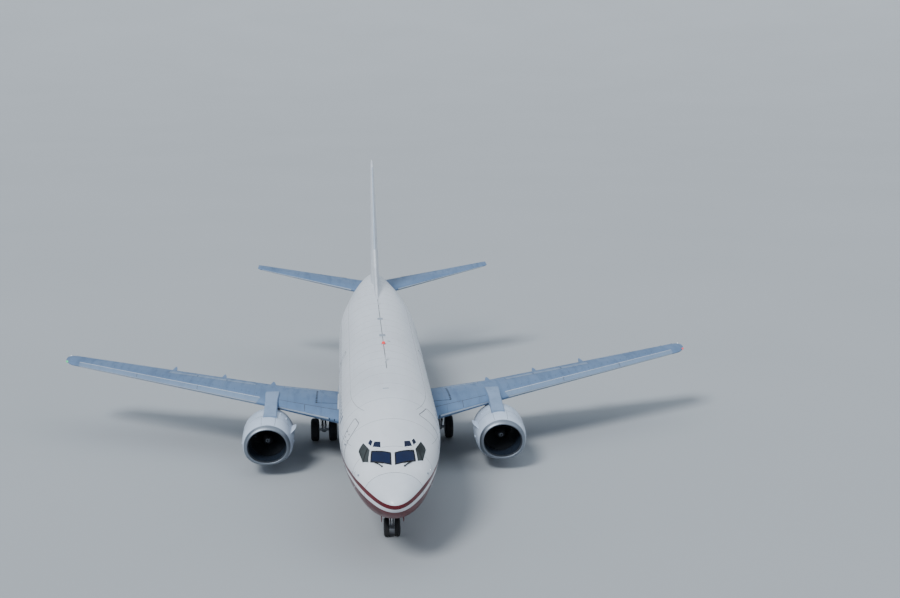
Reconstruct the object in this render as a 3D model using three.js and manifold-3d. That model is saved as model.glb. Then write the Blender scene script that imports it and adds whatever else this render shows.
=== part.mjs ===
// A twin-engine narrow-body airliner parked on its gear, at real size, in millimetres.
// +Z is up, the nose points along -Y and +X is the aircraft's left side. The origin is on the
// ground, in the middle of the overall length and span. Stations are counted aft of the nose tip.

import * as THREE from 'three';
import { mergeVertices } from 'three/addons/utils/BufferGeometryUtils.js';
import Module from 'manifold-3d';

const wasm = await Module();
wasm.setup();

// Driving dimensions
const LENGTH = 33400;
const HALF_SPAN = 14440;
const FIN_TOP = 11130;
const NOSE_Y = -LENGTH / 2;
const SEAT = 0.3; // between pieces that touch
const RUNNING_GAP = 20; // around a hinged surface
const HINGE_PIN = 22; // radius of the pins at the ends of a hinged surface
const DOOR_GAP = 10; // around a cargo door
const ROOTED = 40; // how far a pin or tube reaches into what carries it
const PANEL = 90; // thickness of a fuselage wall at a door

const ENGINE_X = 4875;
const PYLON_X = 4765;
const ENGINE_Z = 1435;
const FAN_RADIUS = 750;
const FAN_BLADES = 24;
const DUCT_RADIUS = 765;
const CORE_RADIUS = 550;

// Gears: place of the leg, radius and width of a tyre, distance between the two, radii of axle and housing
const NOSE_GEAR = { x: 0, s: 3990, tyre: 343, width: 197, spacing: 400, axle: 40, housing: 78 };
const MAIN_GEAR = { x: 2615, s: 16450, tyre: 508, width: 368, spacing: 800, axle: 60, housing: 125 };
const WHEEL_FACETS = 20;
// Legs: heights of the cylinder's ends, radii of cylinder, piston and links
const MAIN_LEG = { bottom: 980, top: 2100, cylinder: 150, piston: 105, link: 45 };
const NOSE_LEG = { bottom: 930, top: 1900, cylinder: 92, piston: 66, link: 28 };
// Torque links: distance behind the leg and height of their lower end, elbow and upper end
const MAIN_LINKS = [[290, 508], [400, 830], [120, 1150]];
const NOSE_LINKS = [[60, 420], [260, 620], [50, 850]];
// Braces from a leg to the fuselage: radius, x, distance behind the leg and height of both ends
const SIDE_BRACE = { radius: 55, leg: [2585, 0, 1240], body: [1720, 0, 1740] };
const DRAG_BRACE = { radius: 45, leg: [0, -40, 1180], body: [0, -900, 1760] };
const LEG_DOOR = { offset: 235, thickness: 30, bracket: 70, bracketBottom: 1350, bracketTop: 1490 };
const NOSE_DOOR = { inner: 384, outer: 410 };
const TOW_FITTING = { halfWidth: 45, front: 150, bottom: 300, top: 386 };
const JACK_PAD = { x: 3460, s: 14900, side: 120, bottom: 2050, top: 2250 };
const NOSE_WELL = { halfWidth: 370, front: 2850, rear: 4400, bottom: 1000, top: 1900 };
const WHEEL_WELL = { x: 950, radius: 560, bottom: 900, top: 1850 };
const LEG_SLOT = { inner: 1300, outer: 2100, halfLength: 230, floor: 900, ceiling: 1800 };

// Cargo doors on the right side: name, front and rear station, sill, head
const CARGO_DOORS = [
  ['cargo_door_forward', 7600, 8820, 1700, 2450],
  ['cargo_door_aft', 19300, 20520, 1700, 2450],
];
const HOLD = { side: 350, floor: 1610, ceiling: 2720, depth: -450 };
const DOOR_HINGE = { x: -1560, z: 2440, radius: 20, facets: 16 };

// Fuselage sections: station, half width, top, height of the widest line, bottom
const FUSELAGE = [
  [0, 20, 2500, 2480, 2460],
  [40, 170, 2600, 2485, 2340],
  [150, 330, 2720, 2500, 2220],
  [500, 620, 2950, 2530, 1950],
  [1220, 1010, 3300, 2600, 1655],
  [1600, 1170, 3450, 2700, 1555],
  [1950, 1300, 3740, 2830, 1470],
  [2360, 1430, 4000, 2970, 1410],
  [3000, 1600, 4330, 3150, 1340],
  [4000, 1765, 4760, 3320, 1295],
  [5200, 1860, 5090, 3410, 1290],
  [6400, 1880, 5265, 3420, 1290],
  [7300, 1880, 5300, 3420, 1290],
  [21500, 1880, 5300, 3420, 1290],
  [23000, 1860, 5300, 3440, 1370],
  [24500, 1780, 5300, 3520, 1620],
  [26000, 1620, 5290, 3650, 2010],
  [27500, 1390, 5270, 3840, 2470],
  [29000, 1090, 5220, 4060, 2960],
  [30200, 810, 5140, 4250, 3360],
  [31600, 430, 4980, 4460, 3950],
  [32200, 210, 4830, 4620, 4410],
];

// Fuselage pieces between their joints: name, front station, rear station
const FUSELAGE_PIECES = [
  ['radome', -100, 1220],
  ['fuselage_nose', 1220, 5600],
  ['fuselage_forward', 5600, 11200],
  ['fuselage_center', 11200, 18600],
  ['fuselage_aft', 18600, 24500],
  ['fuselage_tail', 24500, 30200],
  ['tail_cone', 30200, 32300],
];

// Fairing under the wing centre section, columns as the fuselage's
const BELLY_FAIRING = [
  [9500, 1050, 2000, 1750, 1335],
  [10800, 1700, 2600, 2000, 1200],
  [12000, 1960, 2850, 2100, 1140],
  [17400, 1960, 2850, 2100, 1140],
  [18900, 1700, 2600, 2000, 1210],
  [20300, 1050, 2000, 1750, 1335],
];

// Cockpit glass band in side view: station and height of its corners
const GLASS_BAND = [[1200, 3440], [3060, 3370], [2930, 3930], [1900, 3775], [1200, 3775]];
const GLASS_THICKNESS = 60;

// Lifting surfaces: span position, leading edge, trailing edge, the heights of both, thickness ratio
const WING = [
  [900, 10875, 17250, 2195, 1890, 0.125],
  [1880, 11500, 17350, 2270, 2000, 0.12],
  [4890, 13420, 17640, 2510, 2315, 0.112],
  [14030, 18560, 20090, 3240, 3290, 0.1],
  [14300, 18960, 20130, 3268, 3300, 0.085],
  [HALF_SPAN, 19430, 19860, 3290, 3300, 0.09],
];
const STABILIZER = [
  [150, 27855, 31690, 4500, 4500, 0.1],
  [6120, 31970, 33335, 5230, 5230, 0.09],
  [6350, 32290, 33400, 5255, 5255, 0.06],
];
const FIN = [
  [4950, 25820, 31430, 0, 0, 0.08],
  [6800, 27400, 31900, 0, 0, 0.083],
  [10930, 30930, 32900, 0, 0, 0.088],
  [FIN_TOP, 31270, 32940, 0, 0, 0.05],
];
const DORSAL_FIN = [
  [5100, 21850, 29000, 0, 0, 0.034],
  [5300, 22500, 29000, 0, 0, 0.034],
  [6840, 27540, 29600, 0, 0, 0.09],
];
const CHORD_STEPS = [0, 0.015, 0.06, 0.15, 0.32, 0.52, 0.74, 1];
const TRAILING_EDGE = 12; // thickness of every trailing edge
const CAMBER = 0.012;

// Hinged surfaces: span and chord share of the inner and outer ends of the hinge line
const AILERON = { inner: [10480, 0.76], outer: [12900, 0.76] };
const ELEVATOR = { inner: [1250, 0.69], outer: [5900, 0.7] };
const RUDDER = { inner: [5700, 0.72], outer: [10600, 0.72] };

// Fixed trailing-edge panels of a wing, in plan: x and station of the four corners
const FLAPS = [
  ['flap_inboard', [2120, 16800], [4700, 17010], [4700, 18200], [2120, 18200]],
  ['flap_outboard', [5180, 16740], [10420, 18440], [9824, 20200], [5180, 18900]],
];
// Leading-edge slats in plan, outboard of the engine
const SLATS = [[5850, 13000], [13700, 17400], [13700, 18710], [5250, 13944]];

// Fairings over the flap tracks: x, front station, rear station, half width, depth below the wing
const FLAP_TRACKS = [
  [4900, 15700, 18250, 150, 240],
  [7150, 16300, 18900, 135, 230],
  [9450, 17300, 19600, 120, 200],
];

// Nacelle skins, outer and inner: station, half width, top, height of the widest line, bottom,
// squareness of the lower half
const NACELLE_OUTER = [
  [11100, 835, 2080, 1345, 640, 2.2],
  [11150, 905, 2148, 1345, 575, 2.3],
  [11260, 960, 2228, 1352, 535, 2.4],
  [11600, 1030, 2350, 1380, 492, 2.5],
  [12000, 1062, 2420, 1400, 475, 2.5],
  [12900, 1070, 2450, 1420, 462, 2.5],
  [13500, 1005, 2345, 1410, 540, 2.5],
  [14150, 850, 2130, 1400, 735, 2.2],
];
const NACELLE_INNER = [
  [11130, 800, 2042, 1350, 668, 2.2],
  [11190, 782, 2036, 1353, 685, 2.2],
  [11260, 775, 2040, 1358, 692, 2.2],
  [11600, 768, 2120, 1395, 684, 2.1],
  [11930, DUCT_RADIUS, 2200, 1435, 670, 2],
  [12900, 785, 2220, 1435, 650, 2],
  [13400, 830, 2225, 1432, 640, 2],
  [14150, 832, 2112, 1400, 753, 2.2],
];
// Nacelle pieces: name, first and last row of the skins, colour
const NACELLE_PIECES = [
  ['inlet_lip', 0, 2, 'metal'],
  ['fan_cowl', 2, 5, 'white'],
  ['reverser_cowl', 5, 7, 'white'],
];
const NACELLE_FACETS = 24;

// Round parts along the engine's axis: radius, station
const HUB_PROFILE = [[0, 11750], [70, 11780], [150, 11880], [215, 12000], [215, 12160], [0, 12160]];
const CORE_FRONT = 12160;
const CORE_REAR = 14300;
const CORE_PROFILE = [
  [0, CORE_FRONT + SEAT], [200, CORE_FRONT + SEAT], [200, 12350], [430, 12400],
  [CORE_RADIUS, 12900], [CORE_RADIUS, CORE_REAR], [0, CORE_REAR],
];
const NOZZLE_PROFILE = [
  [0, CORE_REAR + SEAT], [545, CORE_REAR + SEAT], [490, 14750], [425, 15050], [408, 15050], [430, 14760],
  [250, 14740], [205, 15050], [40, 15450], [0, 15450],
];
// Fan blades: station, radius of the root, chord and thickness, twist at the root and at the tip
const BLADE = { s: 12080, root: 150, chord: 170, thickness: 18, rootTwist: 70, tipTwist: 30 };
const OUTLET_VANE = { count: 8, s: 12680, thickness: 50, chord: 260 };

// Pylon sections: station, half width, top, bottom
const PYLON = [
  [11890, 287, 2452, 2200],
  [12450, 272, 2550, 2200],
  [13300, 268, 2735, 2200],
  [14200, 300, 2790, 1900],
  [14600, 308, 2785, 1900],
  [14900, 300, 2690, 1900],
  [15900, 60, 2600, 2080],
];

const COLOURS = {
  white: [0xe9ebee, 0.35, 0.0],
  radome: [0xdfe1e4, 0.45, 0.0],
  red: [0x7a1c2b, 0.4, 0.0],
  grey: [0xb9c0c8, 0.45, 0.1],
  metal: [0xc4c8cc, 0.28, 0.9],
  titanium: [0x77706a, 0.45, 0.85],
  dark: [0x2a2c30, 0.5, 0.4],
  steel: [0x9a9da1, 0.4, 0.7],
  rubber: [0x1b1b1d, 0.85, 0.0],
  glass: [0x11161d, 0.08, 0.0],
};

const airliner = new THREE.Group();

// Solids from and to three.js geometry

function solid(geometry) {
  const bare = geometry.clone();
  bare.deleteAttribute('normal');
  bare.deleteAttribute('uv');
  const merged = mergeVertices(bare, 1e-3);
  const corners = merged.index.array;
  const faces = [];
  for (let i = 0; i < corners.length; i += 3) {
    const [a, b, c] = [corners[i], corners[i + 1], corners[i + 2]];
    if (a !== b && b !== c && a !== c) faces.push(a, b, c);
  }
  return new wasm.Manifold(new wasm.Mesh({
    numProp: 3,
    vertProperties: new Float32Array(merged.attributes.position.array),
    triVerts: new Uint32Array(faces),
  }));
}

function geometryOf(body) {
  const { vertProperties, triVerts } = body.getMesh();
  const geometry = new THREE.BufferGeometry();
  geometry.setAttribute('position', new THREE.BufferAttribute(vertProperties, 3));
  geometry.setIndex(new THREE.BufferAttribute(triVerts, 1));
  geometry.computeVertexNormals();
  return geometry;
}

function add(name, body, colour) {
  const [color, roughness, metalness] = COLOURS[colour];
  const material = new THREE.MeshStandardMaterial({ color, roughness, metalness });
  const mesh = new THREE.Mesh(geometryOf(body), material);
  mesh.name = name;
  airliner.add(mesh);
}

// The same piece on the other side of the aircraft.
function mirrored(body) {
  const geometry = geometryOf(body);
  geometry.scale(-1, 1, 1);
  const corners = geometry.index.array;
  for (let i = 0; i < corners.length; i += 3) {
    [corners[i], corners[i + 1]] = [corners[i + 1], corners[i]];
  }
  return solid(geometry);
}

function addPair(name, body, colour) {
  add(`${name}_left`, body, colour);
  add(`${name}_right`, mirrored(body), colour);
}

const join = (...bodies) => bodies.reduce((all, body) => all.add(body));
const cut = (body, ...tools) => tools.reduce((left, tool) => left.subtract(tool), body);

function meshOf(points, faces) {
  const geometry = new THREE.BufferGeometry().setFromPoints(points);
  geometry.setIndex(faces);
  let volume = 0;
  for (let i = 0; i < faces.length; i += 3) {
    const [a, b, c] = [points[faces[i]], points[faces[i + 1]], points[faces[i + 2]]];
    volume += a.dot(b.clone().cross(c));
  }
  if (volume < 0) geometry.setIndex(faces.toReversed());
  return solid(geometry);
}

// A skin over rings of points that match one to one, with flat ends. The diagonals of the two
// halves of a ring mirror each other.
function loft(rings) {
  const n = rings[0].length;
  const faces = [];
  for (let r = 0; r < rings.length - 1; r++) {
    for (let i = 0; i < n; i++) {
      const [a, b] = [r * n + i, r * n + ((i + 1) % n)];
      if (i < n / 2) faces.push(a, b, b + n, a, b + n, a + n);
      else faces.push(a, b, a + n, b, b + n, a + n);
    }
  }
  const last = (rings.length - 1) * n;
  for (let i = 0, j = n - 1; i < j; i++, j--) {
    const next = (j + 1) % n;
    if (next !== i) faces.push(i, next, i + 1, last + i, last + i + 1, last + next);
    if (i + 1 < j) faces.push(next, j, i + 1, last + next, last + i + 1, last + j);
  }
  return meshOf(rings.flat(), faces);
}

// A tube whose rings close on themselves and whose list of rings closes too.
function ringLoft(rings) {
  const n = rings[0].length;
  const faces = [];
  rings.forEach((_, r) => {
    const next = ((r + 1) % rings.length) * n;
    for (let i = 0; i < n; i++) {
      const j = (i + 1) % n;
      faces.push(r * n + i, r * n + j, next + j, r * n + i, next + j, next + i);
    }
  });
  return meshOf(rings.flat(), faces);
}

function box(x0, x1, s0, s1, z0, z1) {
  const geometry = new THREE.BoxGeometry(x1 - x0, s1 - s0, z1 - z0);
  geometry.translate((x0 + x1) / 2, NOSE_Y + (s0 + s1) / 2, (z0 + z1) / 2);
  return solid(geometry);
}

// A cylinder or cone between two points.
function rod(from, to, radius, endRadius = radius, facets = 16) {
  const axis = to.clone().sub(from);
  const geometry = new THREE.CylinderGeometry(endRadius, radius, axis.length(), facets);
  geometry.translate(0, axis.length() / 2, 0);
  const turn = new THREE.Quaternion().setFromUnitVectors(new THREE.Vector3(0, 1, 0), axis.normalize());
  geometry.applyQuaternion(turn);
  geometry.translate(from.x, from.y, from.z);
  return solid(geometry);
}

// A plate given by its outline in plan, over a range of heights.
function planPrism(outline, z0, z1) {
  const ring = (z) => outline.map(([x, s]) => new THREE.Vector3(x, NOSE_Y + s, z));
  return loft([ring(z0), ring(z1)]);
}

// An outline with each side moved outward by the same distance.
function spread(outline, by) {
  const corners = outline.map(([a, b]) => new THREE.Vector2(a, b));
  const side = Math.sign(THREE.ShapeUtils.area(corners));
  const outward = corners.map((corner, i) => {
    const along = corners[(i + 1) % corners.length].clone().sub(corner).normalize();
    return new THREE.Vector2(along.y * side, -along.x * side);
  });
  return corners.map((corner, i) => {
    const [before, after] = [outward.at(i - 1), outward[i]];
    const moved = corner.clone().addScaledVector(before.clone().add(after), by / (1 + before.dot(after)));
    return [moved.x, moved.y];
  });
}

// A plate given by its outline in side view, over a range of widths.
function sidePrism(outline, x0, x1) {
  const shape = new THREE.Shape(outline.map(([s, z]) => new THREE.Vector2(NOSE_Y + s, z)));
  const geometry = new THREE.ExtrudeGeometry(shape, { depth: x1 - x0, bevelEnabled: false });
  geometry.rotateX(Math.PI / 2);
  geometry.rotateZ(Math.PI / 2);
  geometry.translate(x0, 0, 0);
  return solid(geometry);
}

// Bodies of revolution: profile points are radius and distance along the axis.
function lathe(profile, facets) {
  return new THREE.LatheGeometry(profile.map(([r, a]) => new THREE.Vector2(r, a)), facets);
}

const point = (x, s, z) => new THREE.Vector3(x, NOSE_Y + s, z);

// Radius of a faceted hole whose flats stay a gap away from a turning shaft's corners.
const boreRadius = (shaft, gap, facets) => (shaft + gap) / Math.cos(Math.PI / facets);

// Fuselage

function bodyRing([s, halfWidth, top, widest, bottom], grow, x = 0, count = 32) {
  return Array.from({ length: count }, (_, i) => {
    const turn = (2 * Math.PI * i) / count;
    const reach = Math.cos(turn) > 0 ? top + grow - widest : widest - bottom + grow;
    return point(x + (halfWidth + grow) * Math.sin(turn), s, widest + reach * Math.cos(turn));
  });
}

const bodyLoft = (rows, grow = 0) => loft(rows.map((row) => bodyRing(row, grow)));
const fuselage = bodyLoft(FUSELAGE);
const fuselageSeat = bodyLoft(FUSELAGE, SEAT + 0.1);
const innerWall = bodyLoft(FUSELAGE.slice(4, -2), -PANEL);

// Lifting surfaces

function sectionAt(rows, span) {
  const next = Math.max(1, rows.findIndex((row) => row[0] >= span));
  const [a, b] = [rows[next - 1], rows[next]];
  const share = (span - a[0]) / (b[0] - a[0]);
  return a.map((value, i) => value + share * (b[i] - value));
}

// Station, upper and lower height of a surface at a share of its chord.
function chordPoint([, lead, trail, leadHeight, trailHeight, ratio], share, camber) {
  const chord = trail - lead;
  const half = 5 * ratio * chord * (0.2969 * Math.sqrt(share) - 0.126 * share - 0.3516 * share ** 2
    + 0.2843 * share ** 3 - 0.1036 * share ** 4) + (TRAILING_EDGE / 2) * share;
  const middle = leadHeight + share * (trailHeight - leadHeight) + 4 * camber * chord * share * (1 - share);
  return { s: lead + share * chord, middle, half };
}

function surface(rows, place, camber = 0, grow = 0) {
  return loft(rows.map((section) => {
    const row = section.with(1, section[1] - grow).with(2, section[2] + grow);
    const spots = CHORD_STEPS.map((share) => chordPoint(row, share, camber));
    const upper = spots.map(({ s, middle, half }) => place(row[0], s, middle + half + grow));
    const lower = spots.slice(1).map(({ s, middle, half }) => place(row[0], s, middle - half - grow));
    return [...upper, ...lower.reverse()];
  }));
}

const sideways = (span, s, height) => point(span, s, height);
const upright = (span, s, height) => point(height, s, span);

// A hinged surface and the pocket it turns in, both cut from the surface that carries it.
function hinged(body, rows, place, { inner, outer }, camber = 0) {
  const ends = [inner, outer].map(([span, share]) => {
    const { s, middle, half } = chordPoint(sectionAt(rows, span), share, camber);
    return { at: place(span, s, middle), radius: half * 0.97 };
  });
  const axis = ends[1].at.clone().sub(ends[0].at);
  const length = axis.length();
  axis.normalize();
  const reach = 4000;
  const aft = new THREE.Vector3(0, 1, 0).addScaledVector(axis, -axis.y).normalize();
  const frame = new THREE.Matrix4().makeBasis(axis, aft, axis.clone().cross(aft));
  frame.setPosition(ends[0].at);
  const behind = (from, to, ahead) => {
    const geometry = new THREE.BoxGeometry(to - from, reach, reach);
    geometry.translate((from + to) / 2, reach / 2 - ahead, 0);
    return solid(geometry.applyMatrix4(frame));
  };
  const nose = (spare, from, to) => {
    const grow = (along) => ends[0].at.clone().addScaledVector(axis, along);
    return rod(grow(from), grow(to), ends[0].radius + spare, ends[1].radius + spare, 14);
  };
  const turning = join(body.intersect(behind(0, length, 0)), nose(0, 0, length));
  const pocketed = cut(
    body,
    behind(-RUNNING_GAP, length + RUNNING_GAP, ends[1].radius * 0.25),
    nose(RUNNING_GAP, -RUNNING_GAP, length + RUNNING_GAP),
  );
  const root = RUNNING_GAP + ROOTED;
  const pins = [[-root, -SEAT], [length + SEAT, length + root]].map(([from, to]) => rod(
    ends[0].at.clone().addScaledVector(axis, from),
    ends[0].at.clone().addScaledVector(axis, to),
    HINGE_PIN, HINGE_PIN, 8,
  ));
  return { turning, rest: join(pocketed, ...pins) };
}

// Radome, fuselage pieces, cockpit glass and cargo doors

function glassBand() {
  const skin = bodyLoft(FUSELAGE).intersect(sidePrism(GLASS_BAND, -2000, 2000));
  return cut(skin, bodyLoft(FUSELAGE.slice(3, 11), -GLASS_THICKNESS));
}

function glassPocket() {
  const skin = fuselageSeat.intersect(sidePrism(spread(GLASS_BAND, SEAT), -2000, 2000));
  return cut(skin, bodyLoft(FUSELAGE.slice(3, 11), -GLASS_THICKNESS - SEAT));
}

// The tube a cargo door swings on, along the head of its doorway, or the hole around it.
function hingeTube([, s0, s1], radius) {
  const { x, z, facets } = DOOR_HINGE;
  const reach = HOLD.side + ROOTED;
  return rod(point(x, s0 - reach, z), point(x, s1 + reach, z), radius, radius, facets);
}

function cargoDoor(row) {
  const [, s0, s1, z0, z1] = row;
  const hole = hingeTube(row, boreRadius(DOOR_HINGE.radius, SEAT, DOOR_HINGE.facets));
  return cut(fuselage.intersect(box(-2000, 0, s0, s1, z0, z1)), innerWall, hole);
}

function holdSpace(row) {
  const [, s0, s1, z0, z1] = row;
  const doorway = box(-2500, -800, s0 - DOOR_GAP, s1 + DOOR_GAP, z0 - DOOR_GAP, z1 + DOOR_GAP);
  const room = box(-2500, HOLD.depth, s0 - HOLD.side, s1 + HOLD.side, HOLD.floor, HOLD.ceiling);
  return cut(join(doorway, room.intersect(innerWall)), hingeTube(row, DOOR_HINGE.radius));
}

function noseWell() {
  const { halfWidth, front, rear, bottom, top } = NOSE_WELL;
  return box(-halfWidth, halfWidth, front, rear, bottom, top);
}

function wheelWells() {
  const { s } = MAIN_GEAR;
  const { x, radius, bottom, top } = WHEEL_WELL;
  const { inner, outer, halfLength, floor, ceiling } = LEG_SLOT;
  const well = join(
    rod(point(x, s, bottom), point(x, s, top), radius, radius, 24),
    box(inner, outer, s - halfLength, s + halfLength, floor, ceiling),
  );
  return join(well, mirrored(well));
}

function addFuselage() {
  const openings = {
    fuselage_nose: [noseWell(), glassPocket()],
    fuselage_forward: [holdSpace(CARGO_DOORS[0])],
    fuselage_center: [wheelWells()],
    fuselage_aft: [holdSpace(CARGO_DOORS[1])],
  };
  for (const [name, s0, s1] of FUSELAGE_PIECES) {
    const slice = fuselage.intersect(box(-3000, 3000, s0 + SEAT / 2, s1 - SEAT / 2, 0, 8000));
    add(name, cut(slice, ...(openings[name] ?? [])), name === 'radome' ? 'radome' : 'white');
  }
  add('cockpit_glass', glassBand(), 'glass');
  for (const door of CARGO_DOORS) add(door[0], cargoDoor(door), 'red');
}

// Belly fairing

const fairing = bodyLoft(BELLY_FAIRING);
const fairingSeat = bodyLoft(BELLY_FAIRING, SEAT + 0.1);

// Wings

const wingSkin = surface(WING, sideways, CAMBER);
const wingSeat = surface(WING, sideways, CAMBER, SEAT + 0.1);

function flapTrack([x, s0, s1, halfWidth, depth]) {
  const length = s1 - s0;
  const stops = [0, 0.12, 0.4, 0.75, 1];
  const fullness = [0.1, 0.65, 1, 0.85, 0.08];
  return loft(stops.map((stop, i) => {
    const s = s0 + stop * length;
    const section = sectionAt(WING, x);
    const share = Math.min(1, (s - section[1]) / (section[2] - section[1]));
    const { middle, half } = chordPoint(section, share, CAMBER);
    const full = fullness[i];
    const row = [s, halfWidth * full, middle, middle - half * 0.6, middle - half - depth * full];
    return bodyRing(row, 0, x, 10);
  }));
}

function jackPad() {
  const { x, s, side, bottom, top } = JACK_PAD;
  return box(x - side / 2, x + side / 2, s - side / 2, s + side / 2, bottom, top);
}

function addWings() {
  const panel = (outline) => wingSkin.intersect(planPrism(outline, 1000, 5000));
  const pocket = (outline) => planPrism(spread(outline, SEAT), 1000, 5000);
  const flapPockets = FLAPS.map(([, ...outline]) => pocket(outline));
  const { turning, rest } = hinged(wingSkin, WING, sideways, AILERON, CAMBER);
  const tracks = FLAP_TRACKS.map(flapTrack);
  const trackPockets = flapPockets.map((flap) => flap.intersect(wingSeat));
  const { x, s } = MAIN_GEAR;
  const legSeat = box(x - 190, x + 190, s - 190, s + 190, 1000, MAIN_LEG.top);
  const torsionBox = cut(rest, ...flapPockets, pocket(SLATS));
  const whole = join(torsionBox, jackPad(), ...tracks.map((track) => cut(track, ...trackPockets)));
  const wing = cut(whole, fuselageSeat, fairingSeat, legSeat);
  addPair('wing', wing, 'grey');
  addPair('slats', panel(SLATS), 'grey');
  addPair('aileron', turning, 'grey');
  for (const [name, ...outline] of FLAPS) {
    addPair(name, cut(panel(outline), fuselageSeat, fairingSeat), 'grey');
  }
}

// Tail

function addTail() {
  const stabilizer = hinged(cut(surface(STABILIZER, sideways), fuselageSeat), STABILIZER, sideways, ELEVATOR);
  addPair('stabilizer', stabilizer.rest, 'grey');
  addPair('elevator', stabilizer.turning, 'grey');
  const whole = join(surface(FIN, upright), surface(DORSAL_FIN, upright));
  const fin = hinged(cut(whole, fuselageSeat), FIN, upright, RUDDER);
  add('fin', fin.rest, 'white');
  add('rudder', fin.turning, 'white');
}

// Engines

function nacelleRing([s, halfWidth, top, widest, bottom, squareness], grow = 0) {
  return Array.from({ length: NACELLE_FACETS }, (_, i) => {
    const turn = (2 * Math.PI * (i + 0.5)) / NACELLE_FACETS;
    const [across, up] = [Math.sin(turn), Math.cos(turn)];
    const power = up > 0 ? 1 : 2 / squareness;
    const x = (halfWidth + grow) * Math.sign(across) * Math.abs(across) ** power;
    const reach = up > 0 ? top - widest : widest - bottom;
    const z = Math.sign(up) * (reach + grow) * Math.abs(up) ** power;
    return point(ENGINE_X + x, s, widest + z);
  });
}

function nacelleTube(first, last) {
  const skin = (rows) => rows.slice(first, last + 1)
    .map((row, i) => nacelleRing(row.with(0, row[0] - (i === last - first ? SEAT : 0))));
  return ringLoft([...skin(NACELLE_OUTER), ...skin(NACELLE_INNER).reverse()]);
}

function alongEngine(profile, facets) {
  const geometry = lathe(profile, facets);
  geometry.translate(ENGINE_X, NOSE_Y, ENGINE_Z);
  return solid(geometry);
}

function fan() {
  const hub = alongEngine(HUB_PROFILE, 20);
  const { s, root, chord, thickness, rootTwist, tipTwist } = BLADE;
  const length = FAN_RADIUS - root;
  const blades = Array.from({ length: FAN_BLADES }, (_, i) => {
    const geometry = new THREE.BoxGeometry(chord, thickness, length);
    const places = geometry.attributes.position;
    for (let k = 0; k < places.count; k++) {
      const out = places.getZ(k) / length + 0.5;
      const twist = THREE.MathUtils.degToRad(THREE.MathUtils.lerp(rootTwist, tipTwist, out));
      const [x, y] = [places.getX(k) * (0.55 + 0.45 * out), places.getY(k)];
      places.setXY(k, x * Math.cos(twist) - y * Math.sin(twist), x * Math.sin(twist) + y * Math.cos(twist));
    }
    geometry.translate(0, 0, root + length / 2);
    geometry.rotateY((2 * Math.PI * i) / FAN_BLADES);
    geometry.translate(ENGINE_X, NOSE_Y + s, ENGINE_Z);
    return solid(geometry);
  });
  return join(hub, ...blades);
}

function core() {
  const block = alongEngine(CORE_PROFILE, 20);
  const { count, s, thickness, chord } = OUTLET_VANE;
  const reach = 900; // past the duct, which trims the vanes
  const vanes = Array.from({ length: count }, (_, i) => {
    const geometry = new THREE.BoxGeometry(thickness, chord, reach);
    geometry.translate(0, 0, reach / 2);
    geometry.rotateY((2 * Math.PI * (i + 0.5)) / count);
    geometry.translate(ENGINE_X, NOSE_Y + s, ENGINE_Z);
    return solid(geometry);
  });
  const duct = loft(NACELLE_INNER.slice(4, 6).map((row) => nacelleRing(row, -SEAT - 0.1)));
  return join(block, join(...vanes).intersect(duct));
}

function addEngines() {
  const around = loft(NACELLE_OUTER.map((row) => nacelleRing(row, SEAT + 0.1)));
  const nozzle = alongEngine(NOZZLE_PROFILE, 20);
  const hotSkin = NOZZLE_PROFILE.slice(1, 4).map(([radius, s]) => [radius + 0.5, s]);
  const coreAround = alongEngine([[0, CORE_REAR - 300], [CORE_RADIUS + 0.5, CORE_REAR - 300],
    [CORE_RADIUS + 0.5, CORE_REAR], ...hotSkin, [0, NOZZLE_PROFILE[3][1]]], 20);
  const pylonRing = ([s, halfWidth, top, bottom]) => {
    const chamfer = Math.min(halfWidth * 0.5, 70);
    const corners = [
      [0, top], [halfWidth - chamfer, top], [halfWidth, top - chamfer], [halfWidth, bottom],
      [-halfWidth, bottom], [-halfWidth, top - chamfer], [chamfer - halfWidth, top],
    ];
    return corners.map(([x, z]) => point(PYLON_X + x, s, z));
  };
  const pylon = cut(loft(PYLON.map(pylonRing)), around, coreAround, wingSeat);
  for (const [name, first, last, colour] of NACELLE_PIECES) addPair(name, nacelleTube(first, last), colour);
  addPair('fan', fan(), 'titanium');
  addPair('engine_core', core(), 'dark');
  addPair('exhaust_nozzle', nozzle, 'titanium');
  addPair('pylon', pylon, 'white');
}

// Landing gear

// Two tyres on their wheels and the axle that joins them, turning about X.
function wheelPair({ tyre, width, spacing, axle }) {
  const halfFacet = Math.PI / WHEEL_FACETS;
  const outer = tyre / Math.cos(halfFacet);
  const [rim, hub, half] = [tyre * 0.52, tyre * 0.3, width / 2];
  const profile = [
    [0, -half * 0.5], [hub, -half * 0.5], [rim, -half * 0.86], [outer * 0.88, -half], [outer, -half * 0.55],
    [outer, half * 0.55], [outer * 0.88, half], [rim, half * 0.86], [hub, half * 0.5], [0, half * 0.5],
  ];
  const wheel = (x) => {
    const geometry = lathe(profile, WHEEL_FACETS);
    geometry.rotateY(halfFacet);
    geometry.rotateZ(-Math.PI / 2);
    geometry.translate(x, 0, 0);
    return solid(geometry);
  };
  const shaft = new THREE.CylinderGeometry(axle, axle, spacing, WHEEL_FACETS, 1, false, halfFacet);
  shaft.rotateZ(Math.PI / 2);
  return join(wheel(-spacing / 2), wheel(spacing / 2), solid(shaft));
}

function moved(body, x, s, z) {
  const geometry = geometryOf(body);
  geometry.translate(x, NOSE_Y + s, z);
  return solid(geometry);
}

// The housing the axle turns in.
function axleHousing({ x, s, tyre, width, spacing, axle, housing }) {
  const half = (spacing - width) / 2 - 12;
  const bore = boreRadius(axle, SEAT, WHEEL_FACETS);
  const tube = rod(point(x - half, s, tyre), point(x + half, s, tyre), housing, housing, 14);
  const hole = rod(point(x - 2 * half, s, tyre), point(x + 2 * half, s, tyre), bore, bore, WHEEL_FACETS);
  return { tube, hole };
}

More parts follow.
